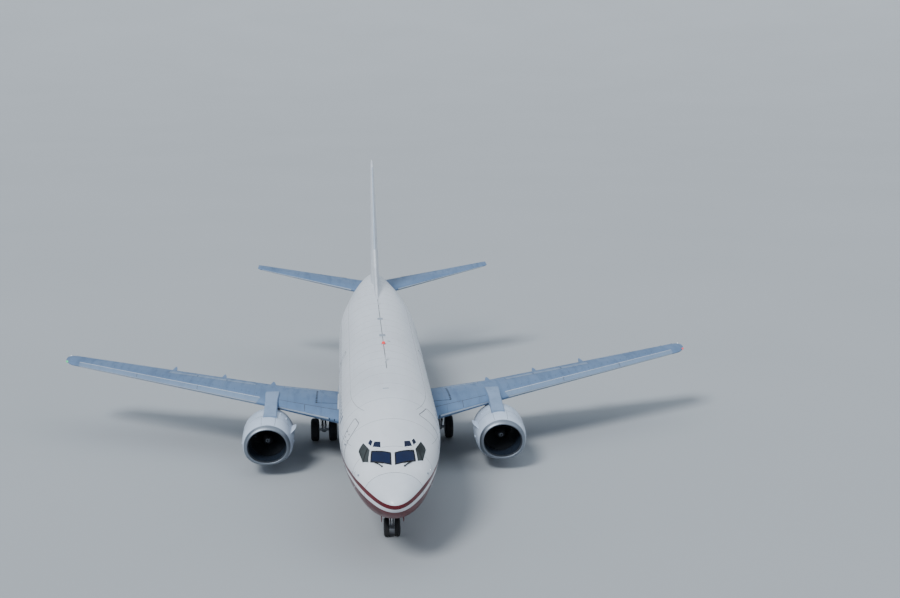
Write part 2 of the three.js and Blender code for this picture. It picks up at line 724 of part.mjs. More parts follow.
function brace({ s }, { radius, leg, body }) {
  const [from, to] = [leg, body].map(([x, behind, z]) => point(x, s + behind, z));
  return rod(from, to, radius, radius, 8);
}

function torqueLinks({ x, s }, { link }, places) {
  const [low, elbow, high] = places.map(([behind, z]) => point(x, s + behind, z));
  return join(rod(low, elbow, link, link, 8), rod(elbow, high, link, link, 8));
}

function addMainGear() {
  const { x, s, tyre } = MAIN_GEAR;
  const { bottom, top, cylinder, piston } = MAIN_LEG;
  const { offset, thickness, bracket, bracketBottom, bracketTop } = LEG_DOOR;
  const { tube, hole } = axleHousing(MAIN_GEAR);
  const leg = join(
    rod(point(x, s, bottom), point(x, s, top - SEAT), cylinder, cylinder, 14),
    rod(point(x, s, tyre), point(x, s, bottom + 20), piston, piston, 14),
    tube,
    brace(MAIN_GEAR, SIDE_BRACE),
    box(x - 60, x + 60, s + 90, s + 330, tyre - 60, tyre + 40),
    torqueLinks(MAIN_GEAR, MAIN_LEG, MAIN_LINKS),
    box(x + 100, x + offset, s - bracket, s + bracket, bracketBottom, bracketTop),
  );
  const outline = [[s - 300, 1070], [s + 260, 1070], [s + 330, 1300], [s + 330, 1960], [s - 350, 1960]];
  const door = sidePrism(outline, x + offset + SEAT, x + offset + thickness);
  addPair('main_gear_leg', cut(leg, hole), 'steel');
  addPair('main_gear_wheels', moved(wheelPair(MAIN_GEAR), x, s, tyre), 'rubber');
  addPair('main_gear_door', cut(door, wingSeat, fairingSeat), 'white');
}

function addNoseGear() {
  const { x, s, tyre } = NOSE_GEAR;
  const { bottom, top, cylinder, piston } = NOSE_LEG;
  const { halfWidth, front, bottom: fittingBottom, top: fittingTop } = TOW_FITTING;
  const { tube, hole } = axleHousing(NOSE_GEAR);
  const strut = join(
    rod(point(x, s, bottom), point(x, s, top - SEAT), cylinder, cylinder, 14),
    brace(NOSE_GEAR, DRAG_BRACE),
    box(-150, 150, s - 60, s + 60, 1240, 1330),
  );
  const lower = join(
    rod(point(x, s, tyre), point(x, s, bottom - SEAT), piston, piston, 12),
    tube,
    torqueLinks(NOSE_GEAR, NOSE_LEG, NOSE_LINKS),
    box(-halfWidth, halfWidth, s - front, s, fittingBottom, fittingTop),
    rod(point(x, s, 800), point(x, s, 900), 105, 105, 12),
  );
  const outline = [[2900, 1000], [3150, 830], [4200, 800], [4380, 1000], [4380, 1600], [2900, 1600]];
  const door = sidePrism(outline, NOSE_DOOR.inner, NOSE_DOOR.outer);
  add('nose_gear_strut', strut, 'steel');
  add('nose_gear_steering', cut(lower, hole), 'steel');
  add('nose_gear_wheels', moved(wheelPair(NOSE_GEAR), x, s, tyre), 'rubber');
  addPair('nose_gear_door', cut(door, fuselageSeat), 'white');
}

addFuselage();
add('belly_fairing', cut(fairing, fuselageSeat, wheelWells()), 'grey');
addWings();
addTail();
addEngines();
addMainGear();
addNoseGear();

export default airliner;
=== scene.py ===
import logging
import math
from collections.abc import Callable, Sequence
from dataclasses import dataclass, field
from enum import Enum
from functools import cache

import bpy
import numpy as np
from mathutils import Matrix, Vector


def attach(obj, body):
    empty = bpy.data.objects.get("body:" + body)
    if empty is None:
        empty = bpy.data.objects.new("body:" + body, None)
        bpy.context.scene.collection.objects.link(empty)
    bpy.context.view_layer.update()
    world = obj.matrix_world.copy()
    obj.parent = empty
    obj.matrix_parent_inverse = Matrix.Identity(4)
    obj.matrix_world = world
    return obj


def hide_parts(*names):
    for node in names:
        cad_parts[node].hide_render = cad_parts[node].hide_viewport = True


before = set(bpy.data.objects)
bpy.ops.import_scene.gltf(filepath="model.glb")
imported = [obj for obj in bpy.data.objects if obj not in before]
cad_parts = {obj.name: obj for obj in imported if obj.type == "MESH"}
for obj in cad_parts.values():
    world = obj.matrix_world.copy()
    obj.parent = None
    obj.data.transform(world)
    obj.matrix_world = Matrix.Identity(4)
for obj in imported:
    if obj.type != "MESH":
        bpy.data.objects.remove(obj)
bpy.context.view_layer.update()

# Looks of a parked twin-engine narrow-body airliner.
#
# Lengths in the tables are millimetres. A station s is counted aft of the nose tip, x is to the
# aircraft's left and z is the height above the ground. Meshes are written in metres, in the frame.

MM = 0.001
NOSE_Y = -16700.0
HALF_SPAN = 14440.0
SIDES = (1, -1)
AFT = (0, 1, 0)
Array = np.ndarray
Row = Sequence[float]
Table = tuple[Row, ...]
log = logging.getLogger("airliner")


def spot(x: float, s: float, z: float) -> Array:
    """A point in millimetres from its distance left, its station and its height."""
    return np.array([x, NOSE_Y + s, z], float)


def unit(vectors: Array) -> Array:
    """Vectors scaled to a length of one."""
    return vectors / np.linalg.norm(vectors, axis=-1, keepdims=True)


def turns_of(count: int) -> Array:
    """Evenly spaced angles of one full turn, in radians."""
    return np.arange(count) * 2 * math.pi / count


def rect(a0: float, a1: float, b0: float, b1: float) -> list[list[float]]:
    """The corners of a rectangle between two values on each axis."""
    return [[a0, b0], [a1, b0], [a1, b1], [a0, b1]]


def oval(turns: Array, s: Array, half: float, top: float, wide: float, bottom: float,
         x: float = 0.0) -> Array:
    """Points of a section that is half an ellipse above its widest height and half another one below it."""
    up = np.cos(turns)
    return np.stack([x + half * np.sin(turns), NOSE_Y + s + 0 * up,
                     wide + np.where(up > 0, top - wide, wide - bottom) * up], -1)


# Meshes


@dataclass
class Form:
    """A mesh in millimetres, made of points and of faces that list them."""

    points: Array
    faces: list[tuple[int, ...]]

    def __add__(self, other: "Form") -> "Form":
        """Both forms in one, without welding."""
        return joined([self, other])

    def moved(self, offset: Sequence[float]) -> "Form":
        """The form shifted by an offset."""
        return Form(self.points + np.asarray(offset, float), self.faces)

    def turned(self, degrees: float, axis: Sequence[float], centre: Sequence[float]) -> "Form":
        """The form turned about an axis through a centre."""
        turn = np.array(Matrix.Rotation(math.radians(degrees), 3, Vector(axis)))
        return Form((self.points - centre) @ turn.T + centre, self.faces)

    def mirrored(self) -> "Form":
        """The same form on the other side of the aircraft."""
        return Form(self.points * [-1, 1, 1], [face[::-1] for face in self.faces])

    def outward(self) -> "Form":
        """Turns the faces of a closed form to look out.

        Returns:
            The form, or one with its faces reversed where its volume came out negative.
        """
        volume = 0.0
        for face in self.faces:
            a, *rest = (self.points[i] for i in face)
            volume += sum(float(a @ np.cross(b, c)) for b, c in zip(rest, rest[1:]))
        return self if volume >= 0 else Form(self.points, [face[::-1] for face in self.faces])


def joined(forms: Sequence[Form]) -> Form:
    """All forms in one mesh, without welding."""
    starts = np.cumsum([0] + [len(form.points) for form in forms])
    return Form(np.vstack([form.points for form in forms]),
                [tuple(i + int(n) for i in face) for form, n in zip(forms, starts) for face in form.faces])


def skin(rows: Sequence[Array], closed: bool = False) -> Form:
    """A surface over rows of points.

    Args:
        rows: rings of equal length that match one to one, or single points as poles.
        closed: whether the last row joins the first.

    Returns:
        The closed form, with flat ends where the first and last rows are rings.
    """
    starts = np.cumsum([0] + [len(row) for row in rows])
    n = max(len(row) for row in rows)
    faces: list[tuple[int, ...]] = []
    for r in range(len(rows) - (0 if closed else 1)):
        k = (r + 1) % len(rows)
        a, b = int(starts[r]), int(starts[k])
        for i in range(n):
            j = (i + 1) % n
            if len(rows[r]) == 1:
                faces.append((a, b + j, b + i))
            elif len(rows[k]) == 1:
                faces.append((a + i, a + j, b))
            else:
                faces.append((a + i, a + j, b + j, b + i))
    if not closed:
        if len(rows[0]) > 1:
            faces.append(tuple(range(n - 1, -1, -1)))
        if len(rows[-1]) > 1:
            faces.append(tuple(range(int(starts[-2]), int(starts[-2]) + n)))
    return Form(np.vstack(rows), faces).outward()


def basis(axis: Sequence[float]) -> Array:
    """Finds two directions across an axis.

    Args:
        axis: a direction of any length.

    Returns:
        Both directions and the axis, as rows of unit length.
    """
    w = np.asarray(axis, float) / np.linalg.norm(axis)
    side = np.array([0, 0, 1.0]) if abs(w[2]) < 0.9 else np.array([1.0, 0, 0])
    u = unit(np.cross(side, w))
    return np.array([u, np.cross(w, u), w])


def lathe(profile: Sequence[tuple[float, float]], origin: Array, axis: Sequence[float],
          facets: int = 32, closed: bool = False) -> Form:
    """A body of revolution.

    Args:
        profile: radius and distance along the axis of each row.
        origin: where the axis starts.
        axis: its direction.
        facets: points round each row.
        closed: whether the profile ends where it starts.

    Returns:
        The closed form.
    """
    u, v, w = basis(axis)
    circle = np.outer(np.cos(turns_of(facets)), u) + np.outer(np.sin(turns_of(facets)), v)
    rows = [origin + a * w + (circle * r if r > 0 else np.zeros((1, 3))) for r, a in profile]
    return skin(rows, closed)


def rod(start: Array, end: Array, radius: float, end_radius: float | None = None,
        facets: int = 20, bevel: float = 4.0) -> Form:
    """A round bar or cone with softened ends.

    Args:
        start: middle of its first end.
        end: middle of its last end.
        radius: radius at the start.
        end_radius: radius at the end, where it differs.
        facets: points round it.
        bevel: largest size of the softened edge.

    Returns:
        The closed bar.
    """
    last = radius if end_radius is None else end_radius
    length = float(np.linalg.norm(end - start))
    soft = min(bevel, radius * 0.4, last * 0.4, length * 0.3)
    profile = [(radius - soft, 0.0), (radius, soft), (last, length - soft), (last - soft, length)]
    return lathe(profile, start, end - start, facets)


def rods(*rows: Sequence) -> Form:
    """Bars in one form; each row holds both ends as distance left, station and height, then rod's sizes."""
    return joined([rod(spot(*start), spot(*end), *sizes) for start, end, *sizes in rows])


def pipe(path: Sequence[Array], radius: float, facets: int = 8) -> Form:
    """A round tube along a path.

    Args:
        path: points of its middle line.
        radius: its radius.
        facets: points round it.

    Returns:
        The closed tube.
    """
    points = np.array(path, float)
    cos, sin = np.cos(turns_of(facets)), np.sin(turns_of(facets))
    along = np.gradient(points, axis=0)
    rows, u = [], basis(along[0])[0]
    for place, direction in zip(points, along):
        w = unit(direction)
        u = unit(u - w * (u @ w))
        rows.append(place + radius * (np.outer(cos, u) + np.outer(sin, np.cross(w, u))))
    return skin(rows)


def smooth_path(points: Sequence[Array], steps: int = 6) -> list[Array]:
    """A curve through points.

    Args:
        points: points or rows of numbers.
        steps: how many steps each span gets.

    Returns:
        The points of the curve.
    """
    p = [np.asarray(q, float) for q in points]
    p = [2 * p[0] - p[1], *p, 2 * p[-1] - p[-2]]
    out = []
    for a, b, c, d in zip(p, p[1:], p[2:], p[3:]):
        for t in np.arange(steps) / steps:
            out.append(0.5 * (2 * b + (c - a) * t + (2 * a - 5 * b + 4 * c - d) * t ** 2
                              + (3 * b - a - 3 * c + d) * t ** 3))
    return out + [p[-2]]


def spread(outline: Array, by: float) -> Array:
    """Moves each side of a convex outline outward.

    Args:
        outline: pairs in order round it.
        by: how far, in millimetres; a negative value moves them inward.

    Returns:
        The moved outline.
    """
    ahead = np.roll(outline, -1, axis=0)
    area = float(np.sum(outline[:, 0] * ahead[:, 1] - outline[:, 1] * ahead[:, 0]))
    after = unit(ahead - outline)
    normal = np.stack([after[:, 1], -after[:, 0]], 1) * math.copysign(1, area)
    before = np.roll(normal, 1, axis=0)
    share = 1 + np.sum(before * normal, axis=1, keepdims=True)
    return outline + (before + normal) * by / share


def softened(corners: Sequence[Row], radius: float, steps: int = 4) -> Array:
    """Rounds the corners of an outline.

    Args:
        corners: its corner pairs.
        radius: reach of the rounding along each side.
        steps: steps round each corner.

    Returns:
        The rounded outline.
    """
    points = np.array(corners, float)
    out = []
    for before, corner, after in zip(np.roll(points, 1, axis=0), points, np.roll(points, -1, axis=0)):
        ends = []
        for other in (before, after):
            reach = np.linalg.norm(other - corner)
            ends.append(corner + (other - corner) * min(radius, reach * 0.45) / reach)
        for t in np.linspace(0, 1, steps + 1):
            out.append((1 - t) ** 2 * ends[0] + 2 * t * (1 - t) * corner + t ** 2 * ends[1])
    return np.array(out)


class Plane(Enum):
    """The plane in which an outline is drawn: its two axes and the axis it is pushed along."""

    PLAN = (0, 1, 2)
    SIDE = (1, 2, 0)
    FRONT = (0, 2, 1)


def prism(outline: Sequence[Row], plane: Plane, low: float, high: float,
          bevel: float = 0.0) -> Form:
    """A plate with a given outline.

    Args:
        outline: corner pairs; stations count from the nose.
        plane: where the outline is drawn.
        low: start along the third axis.
        high: end along it.
        bevel: size of the softened edges.

    Returns:
        The closed plate.
    """
    a, b, c = plane.value
    shape = np.array(outline, float)
    rings = []
    steps = ((bevel, low), (0, low + bevel), (0, high - bevel), (bevel, high)) if bevel else ((0, low), (0, high))
    for inset, depth in steps:
        row = np.zeros((len(shape), 3))
        flat = spread(shape, -inset) if inset else shape
        row[:, a], row[:, b], row[:, c] = flat[:, 0], flat[:, 1], depth
        row[:, 1] += NOSE_Y
        rings.append(row)
    return skin(rings)


def block(x0: float, x1: float, s0: float, s1: float, z0: float, z1: float, bevel: float = 0.0) -> Form:
    """A box between two values on each axis, with softened edges where it has a bevel."""
    outline = rect(x0, x1, s0, s1)
    return prism(softened(outline, bevel * 1.5, 2) if bevel else outline, Plane.PLAN, z0, z1, bevel)


class Cut(Enum):
    """How a tool changes a body."""

    AWAY = "DIFFERENCE"
    KEEP = "INTERSECT"
    JOIN = "UNION"


def mesh_of(name: str, form: Form, scale: float = 1.0) -> bpy.types.Mesh:
    """A Blender mesh of a form.

    Args:
        name: its name.
        form: the form.
        scale: what its lengths are multiplied by.

    Returns:
        The mesh.
    """
    mesh = bpy.data.meshes.new(name)
    mesh.from_pydata((form.points * scale).tolist(), [], form.faces)
    mesh.update()
    return mesh


def shaped(body: Form, tools: Sequence[Form], how: Cut = Cut.AWAY) -> Form:
    """A body after a set of tools has cut it, kept it or joined it.

    Args:
        body: the closed form to change.
        tools: closed forms.
        how: what each tool does.

    Returns:
        The changed form.
    """
    scene = bpy.context.scene.collection
    made = []
    for form in (body, *tools):
        made.append(bpy.data.objects.new("work", mesh_of("work", form)))
        scene.objects.link(made[-1])
    target = made[0]
    for helper in made[1:]:
        step = target.modifiers.new("cut", "BOOLEAN")
        step.operation, step.solver, step.object = how.value, "MANIFOLD", helper
    result = target.evaluated_get(bpy.context.evaluated_depsgraph_get()).to_mesh()
    points = np.empty(len(result.vertices) * 3)
    result.vertices.foreach_get("co", points)
    faces = [tuple(face.vertices) for face in result.polygons]
    for obj in made:
        data = obj.data
        bpy.data.objects.remove(obj)
        bpy.data.meshes.remove(data)
    return Form(points.reshape(-1, 3), faces)


def steady(x: Array, y: Array, at: Array) -> Array:
    """Reads a smooth curve that doesn't swing past its points.

    Args:
        x: where its points lie, rising.
        y: their values.
        at: where to read it.

    Returns:
        The values there.
    """
    h, d = np.diff(x), np.diff(y) / np.diff(x)
    slope = np.zeros_like(y)
    for i in range(1, len(x) - 1):
        if d[i - 1] * d[i] > 0:
            w1, w2 = 2 * h[i] + h[i - 1], h[i] + 2 * h[i - 1]
            slope[i] = (w1 + w2) / (w1 / d[i - 1] + w2 / d[i])
    slope[0], slope[-1] = d[0], d[-1]
    q = np.clip(at, x[0], x[-1])
    i = np.clip(np.searchsorted(x, q, "right") - 1, 0, len(x) - 2)
    t = (q - x[i]) / h[i]
    return ((2 * t ** 3 - 3 * t ** 2 + 1) * y[i] + (t ** 3 - 2 * t ** 2 + t) * h[i] * slope[i]
            + (3 * t ** 2 - 2 * t ** 3) * y[i + 1] + (t ** 3 - t ** 2) * h[i] * slope[i + 1])


@dataclass
class Hull:
    """A long body given by its sections: station, half width, top, widest height, bottom."""

    rows: Array
    facets: int = 128
    warp: Callable[[Array], Array] = np.asarray

    def section(self, s: Array) -> list[Array]:
        """Half width, top, widest height and bottom at stations; a blunt nose reads them by the root."""
        at = self.warp(np.maximum(np.asarray(s, float), 0))
        return [steady(self.warp(self.rows[:, 0]), column, at) for column in self.rows.T[1:]]

    def on(self, s: Array, turn: Array) -> Array:
        """Points of the skin at stations and angles from the crown, in radians."""
        s, turn = np.broadcast_arrays(np.asarray(s, float), np.asarray(turn, float))
        return oval(turn, s, *self.section(s))

    def normal(self, s: Array, turn: Array) -> Array:
        """Outward directions of the skin, from its slopes along and round the body."""
        along = self.on(np.add(s, 8.0), turn) - self.on(np.maximum(np.subtract(s, 8.0), 0), turn)
        return unit(np.cross(self.on(s, np.add(turn, 0.01)) - self.on(s, np.subtract(turn, 0.01)), along))

    def off(self, s: Array, turn: Array, out: float) -> Array:
        """Points at a distance off the skin."""
        return self.on(s, turn) + out * self.normal(s, turn)

    def turn_at(self, s: Array, z: Array, side: int = 1) -> Array:
        """The angle at which the skin has a height, on the left (1) or right (-1) side."""
        _, top, wide, bottom = self.section(s)
        return side * np.arccos(np.clip((z - wide) / np.where(z > wide, top - wide, wide - bottom), -1, 1))

    def side_path(self, outline: Array, side: int) -> Array:
        """Stations and heights on one side as stations and angles."""
        return np.stack([outline[:, 0], self.turn_at(*outline.T, side)], 1)

    def disc(self, profile: Sequence[Row], s: float, z: float, side: int, facets: int) -> Form:
        """A body of revolution that stands on the side of the skin at a station and a height."""
        turn = self.turn_at(s, z, side)
        return lathe(profile, self.on(s, turn), self.normal(s, turn), facets)

    def form(self, stations: Sequence[float], grow: float = 0.0) -> Form:
        """The closed body over stations, grown by a distance."""
        sizes = [(s, *(float(v) for v in self.section(s))) for s in stations]
        return skin([oval(turns_of(self.facets), s, half + grow, top + grow, wide, bottom - grow)
                     for s, half, top, wide, bottom in sizes])

    def plate(self, outline: Array, out: float, depth: float, rings: int = 3) -> Form:
        """A plate that follows the skin.

        Args:
            outline: stations and angles of its edge.
            out: how far it stands off the skin.
            depth: how far it reaches into it.
            rings: steps from its edge to its middle.

        Returns:
            The closed plate.
        """
        middle = outline.mean(axis=0)
        shares = [k / rings for k in range(1, rings + 1)]
        rows = {}
        for height in (-depth, out):
            rows[height] = [self.off(*middle, height).reshape(1, 3)]
            rows[height] += [self.off(*(middle + (outline - middle) * share).T, height) for share in shares]
        return skin([*rows[-depth], *rows[out][::-1]])

    def strip(self, path: Array, *sizes: float, **options: float) -> Form:
        """A band along a path of stations and angles; the other arguments are band's."""
        return band(self.on(*path.T), self.normal(*path.T), *sizes, **options)


def band(points: Array, normals: Array, width: float, out: float, depth: float = 3.0,
         closed: bool = True, shift: float = 0.5) -> Form:
    """A flat band along points of a surface.

    Args:
        points: the path.
        normals: the surface's outward directions there.
        width: width of the band.
        out: how far it stands off the surface.
        depth: how far it reaches into it.
        closed: whether the path ends where it starts.
        shift: share of the width on the outer side of the path.

    Returns:
        The closed band.
    """
    if closed:
        along = np.roll(points, -1, axis=0) - np.roll(points, 1, axis=0)
    else:
        along = np.gradient(points, axis=0)
    across = unit(np.cross(along, normals))
    if closed:
        across *= math.copysign(1, float(np.sum((points - points.mean(axis=0)) * across)))
    inner, outer = points - across * width * (1 - shift), points + across * width * shift
    rows = np.stack([inner - normals * depth, inner + normals * out, outer + normals * out,
                     outer - normals * depth], 1)
    return skin(list(rows), closed)


def dense(corners: Sequence[Row], closed: bool = True, step: float = 60.0,
          scale: float = 1.0) -> Array:
    """Points along straight sides, at most a step apart.

    Args:
        corners: the corners of a path.
        closed: whether it returns to its first corner.
        step: largest distance between points.
        scale: what the second column is multiplied by to be a length.

    Returns:
        The path.
    """
    points = np.array(corners, float)
    ends = np.vstack([points, points[:1]]) if closed else points
    out = []
    for a, b in zip(ends, ends[1:]):
        count = max(1, math.ceil(float(np.hypot(b[0] - a[0], (b[1] - a[1]) * scale)) / step))
        out += [a + (b - a) * k / count for k in range(count)]
    if not closed:
        out.append(ends[-1])
    return np.array(out)


# Finishes


def operator(operation: str, swapped: bool = False) -> Callable[["Value", "Value | float"], "Value"]:
    """Makes a method of Value.

    Args:
        operation: the Math node's operation.
        swapped: whether the other value comes first.

    Returns:
        The method.
    """

    def method(self: "Value", other: "Value | float") -> "Value":
        """The operation's result."""
        return self.math(operation, *((other, self) if swapped else (self, other)))

    return method


class Value:
    """A number that varies over a surface: it wraps a socket, and sums on it add Math nodes."""

    def __init__(self, graph: "Graph", socket: bpy.types.NodeSocket) -> None:
        """Wraps a socket of a graph."""
        self.graph, self.socket = graph, socket

    def math(self, operation: str, *values: "Value | float", clamp: bool = False) -> "Value":
        """A Math node over values."""
        settings = {"operation": operation, "use_clamp": clamp}
        return Value(self.graph, self.graph.node("ShaderNodeMath", settings, dict(enumerate(values))).outputs[0])

    __add__ = __radd__ = operator("ADD")
    __sub__, __rsub__ = operator("SUBTRACT"), operator("SUBTRACT", True)
    __mul__ = __rmul__ = operator("MULTIPLY")
    __truediv__, __rtruediv__ = operator("DIVIDE"), operator("DIVIDE", True)
    __or__, __and__ = operator("MAXIMUM"), operator("MINIMUM")

    def __abs__(self) -> "Value":
        """Size without sign."""
        return self.math("ABSOLUTE", self)

    def held(self) -> "Value":
        """The value kept between 0 and 1."""
        return self.math("ADD", self, 0.0, clamp=True)

    def repeat(self, pitch: float) -> "Value":
        """Distance from the nearest multiple of a pitch."""
        return abs(self.math("WRAP", self, pitch / 2, -pitch / 2))

    def rise(self, low: float, high: float) -> "Value":
        """A smooth step from 0 at low to 1 at high; high may lie below low."""
        node = self.graph.node("ShaderNodeMapRange", {"interpolation_type": "SMOOTHSTEP"},
                               {"Value": self, "From Min": low, "From Max": high, "To Min": 0.0, "To Max": 1.0})
        return Value(self.graph, node.outputs[0])

    def line(self, pitch: float, width: float) -> "Value":
        """A mask of lines at every multiple of a pitch."""
        return self.repeat(pitch).rise(width, width * 0.4)


Colour = tuple[float, float, float]


class Graph:
    """The nodes of one material."""

    def __init__(self, name: str) -> None:
        """Starts a material with its shader."""
        self.material = bpy.data.materials.new(name)
        self.material.use_nodes = True
        self.tree = self.material.node_tree
        self.shader = self.tree.nodes["Principled BSDF"]

    def node(self, kind: str, settings: dict | None = None, inputs: dict | None = None) -> bpy.types.Node:
        """Adds a node.

        Args:
            kind: its type.
            settings: its properties, which are set first; "stops" are a ramp's positions and colours.
            inputs: values or links of its sockets, by name or number.

        Returns:
            The node.
        """
        made = self.tree.nodes.new(kind)
        for key, value in (settings or {}).items():
            if key == "stops":
                ramp = made.color_ramp
                while len(ramp.elements) < len(value):
                    ramp.elements.new(0.5)
                for element, (place, colour) in zip(ramp.elements, value):
                    element.position, element.color = place, (*colour, 1.0)
            else:
                setattr(made, key, value)
        for key, value in (inputs or {}).items():
            self.feed(made.inputs[key], value)
        return made

    def feed(self, socket: bpy.types.NodeSocket, value: object) -> None:
        """Links a socket, or sets it.

        Args:
            socket: the socket.
            value: a varying value, another socket, a colour or a number.
        """
        if isinstance(value, Value):
            value = value.socket
        if isinstance(value, bpy.types.NodeSocket):
            self.tree.links.new(value, socket)
        elif isinstance(value, tuple) and socket.type == "RGBA":
            socket.default_value = (*value, 1.0)
        else:
            socket.default_value = value

    def where(self) -> bpy.types.NodeSocket:
        """The point on the piece in metres, from its own mesh."""
        return self.node("ShaderNodeTexCoord").outputs["Object"]

    def place(self) -> tuple[Value, Value, Value]:
        """The three coordinates of that point."""
        split = self.node("ShaderNodeSeparateXYZ", inputs={0: self.where()})
        return tuple(Value(self, split.outputs[i]) for i in range(3))

    def noise(self, scale: float, detail: float = 3.0, stretch: Colour = (1.0, 1.0, 1.0)) -> Value:
        """Cloudy values from 0 to 1.

        Args:
            scale: clouds in a metre.
            detail: how many finer layers they have.
            stretch: what each coordinate is multiplied by first.

        Returns:
            The value.
        """
        shape = self.node("ShaderNodeVectorMath", {"operation": "MULTIPLY"}, {0: self.where(), 1: stretch})
        made = self.node("ShaderNodeTexNoise",
                         inputs={"Vector": shape.outputs[0], "Scale": scale, "Detail": detail})
        return Value(self, made.outputs[0])

    def mix(self, a: object, b: object, share: Value | float) -> bpy.types.NodeSocket:
        """A colour between two colours."""
        return self.node("ShaderNodeMix", {"data_type": "RGBA"}, {0: share, 6: a, 7: b}).outputs[2]
        """A colour between two colours."""
        made = self.node("ShaderNodeMix", {"data_type": "RGBA"}, {0: share, 6: a, 7: b})
        return made.outputs[2]

    def set(self, **sockets: object) -> None:
        """Sets or links sockets of the shader; an underscore stands for a space."""
        for key, value in sockets.items():
            self.feed(self.shader.inputs[key.replace("_", " ")], value)

    def bump(self, height: Value, strength: float, distance: float) -> None:
        """Gives the shader a relief."""
        made = self.node("ShaderNodeBump", inputs={"Strength": strength, "Distance": distance, "Height": height})
        self.set(Normal=made.outputs[0])


def toned(colour: Colour, by: float) -> Colour:
    """A darker or lighter tone of a colour."""
    return tuple(c * by for c in colour)


@dataclass(frozen=True)
class Finish:
    """A surface with a base colour, its soil and its sheen."""

    name: str
    slot: str
    colour: Colour
    roughness: float = 0.4
    metallic: float = 0.0
    coat: float = 0.0
    gloss: float = 0.5
    soil: Colour = (0.08, 0.075, 0.07)
    soiled: float = 0.15
    scale: float = 2.0
    stretch: Colour = (1.0, 1.0, 1.0)
    relief: float = 0.05

    def colours(self, graph: Graph) -> tuple[object, Value, Value]:
        """Lays out what varies over the surface.

        Args:
            graph: the nodes to add to.

        Returns:
            Base colour, soil mask and height.
        """
        cloud = graph.noise(self.scale, 5.0, self.stretch)
        fine = graph.noise(self.scale * 14, 3.0, self.stretch)
        mask = (cloud * 0.7 + fine * 0.3).rise(0.46, 0.74)
        base = graph.mix(self.colour, toned(self.colour, 0.86), cloud.rise(0.35, 0.7) * 0.6)
        return base, mask, fine

    def material(self) -> bpy.types.Material:
        """Builds the material.

        Returns:
            The material.
        """
        graph = Graph(self.name)
        base, mask, height = self.colours(graph)
        graph.set(Base_Color=graph.mix(base, self.soil, mask * self.soiled),
                  Roughness=(mask * 0.25 + (self.roughness + (height - 0.5) * 0.12)).held(),
                  Metallic=self.metallic, Coat_Weight=self.coat, Coat_Roughness=0.12,
                  Specular_IOR_Level=self.gloss)
        graph.bump(height, self.relief, 0.002)
        return graph.material


@dataclass(frozen=True)
class HullPaint(Finish):
    """White crown, a red line, a white line and a red belly, with seams, grime and streaks."""

    red: Colour = (0.115, 0.006, 0.013)
    lines: Table = (
        (0.0, 2.530), (0.77, 2.690), (1.6, 2.835), (2.6, 2.985), (4.0, 3.085), (6.0, 3.125),
        (22.0, 3.125), (25.0, 3.30), (28.0, 3.68), (30.5, 4.05), (33.4, 4.42))
    line_width: float = 0.152
    gap_width: float = 0.155
    blur: float = 0.004
    length: float = 33.4
    height: float = 6.0
    frames: float = 1.27
    laps: float = 0.93
    seams: bool = True
    seam_colour: Colour = (0.10, 0.10, 0.11)

    def red_area(self, graph: Graph, aft: Value, z: Value) -> Value:
        """Draws the red line, and the red belly under the white line.

        Args:
            graph: the nodes to add to.
            aft: station in metres.
            z: height in metres.

        Returns:
            A mask of what is red.
        """
        stops = [(s / self.length, (z0 / self.height,) * 3) for s, z0 in self.lines]
        ramp = graph.node("ShaderNodeValToRGB", {"stops": stops}, {0: aft / self.length})
        above = z - Value(graph, ramp.outputs[0]) * self.height
        line, belly, blur = -self.line_width, -self.line_width - self.gap_width, self.blur
        stripe = above.rise(blur, -blur) & above.rise(line - blur, line + blur)
        return stripe | above.rise(belly + blur, belly - blur)

    def colours(self, graph: Graph) -> tuple[object, Value, Value]:
        """White and red areas with the seams of the skin panels.

        Args:
            graph: the nodes to add to.

        Returns:
            Base colour, soil mask and height.
        """
        x, y, z = graph.place()
        aft = y - NOSE_Y * MM
        red = self.red_area(graph, aft, z)
        cloud = graph.noise(0.35, 5.0, (1.0, 0.35, 1.0))
        streak = graph.noise(3.0, 4.0, (1.0, 0.08, 1.6))
        white = graph.mix(self.colour, toned(self.colour, 0.9), cloud.rise(0.4, 0.65))
        dark = graph.mix(self.red, toned(self.red, 0.7), streak.rise(0.4, 0.7))
        base = graph.mix(white, dark, red)
        height = streak * 0.2
        if self.seams:
            ring = (aft + 0.3).line(self.frames, 0.010) & aft.rise(1.4, 1.5)
            lap = (z.line(self.laps, 0.008) & abs(x).rise(0.9, 1.0)) & (aft.rise(3.0, 3.2) & z.rise(2.0, 2.2))
            seam = ring | lap
            base = graph.mix(base, self.seam_colour, seam * 0.55)
            height = height - seam
        low = z.rise(2.6, 1.3)
        mask = (streak.rise(0.42, 0.72) * (0.25 + low * 0.9) + cloud.rise(0.55, 0.8) * 0.35).held()
        return base, mask, height


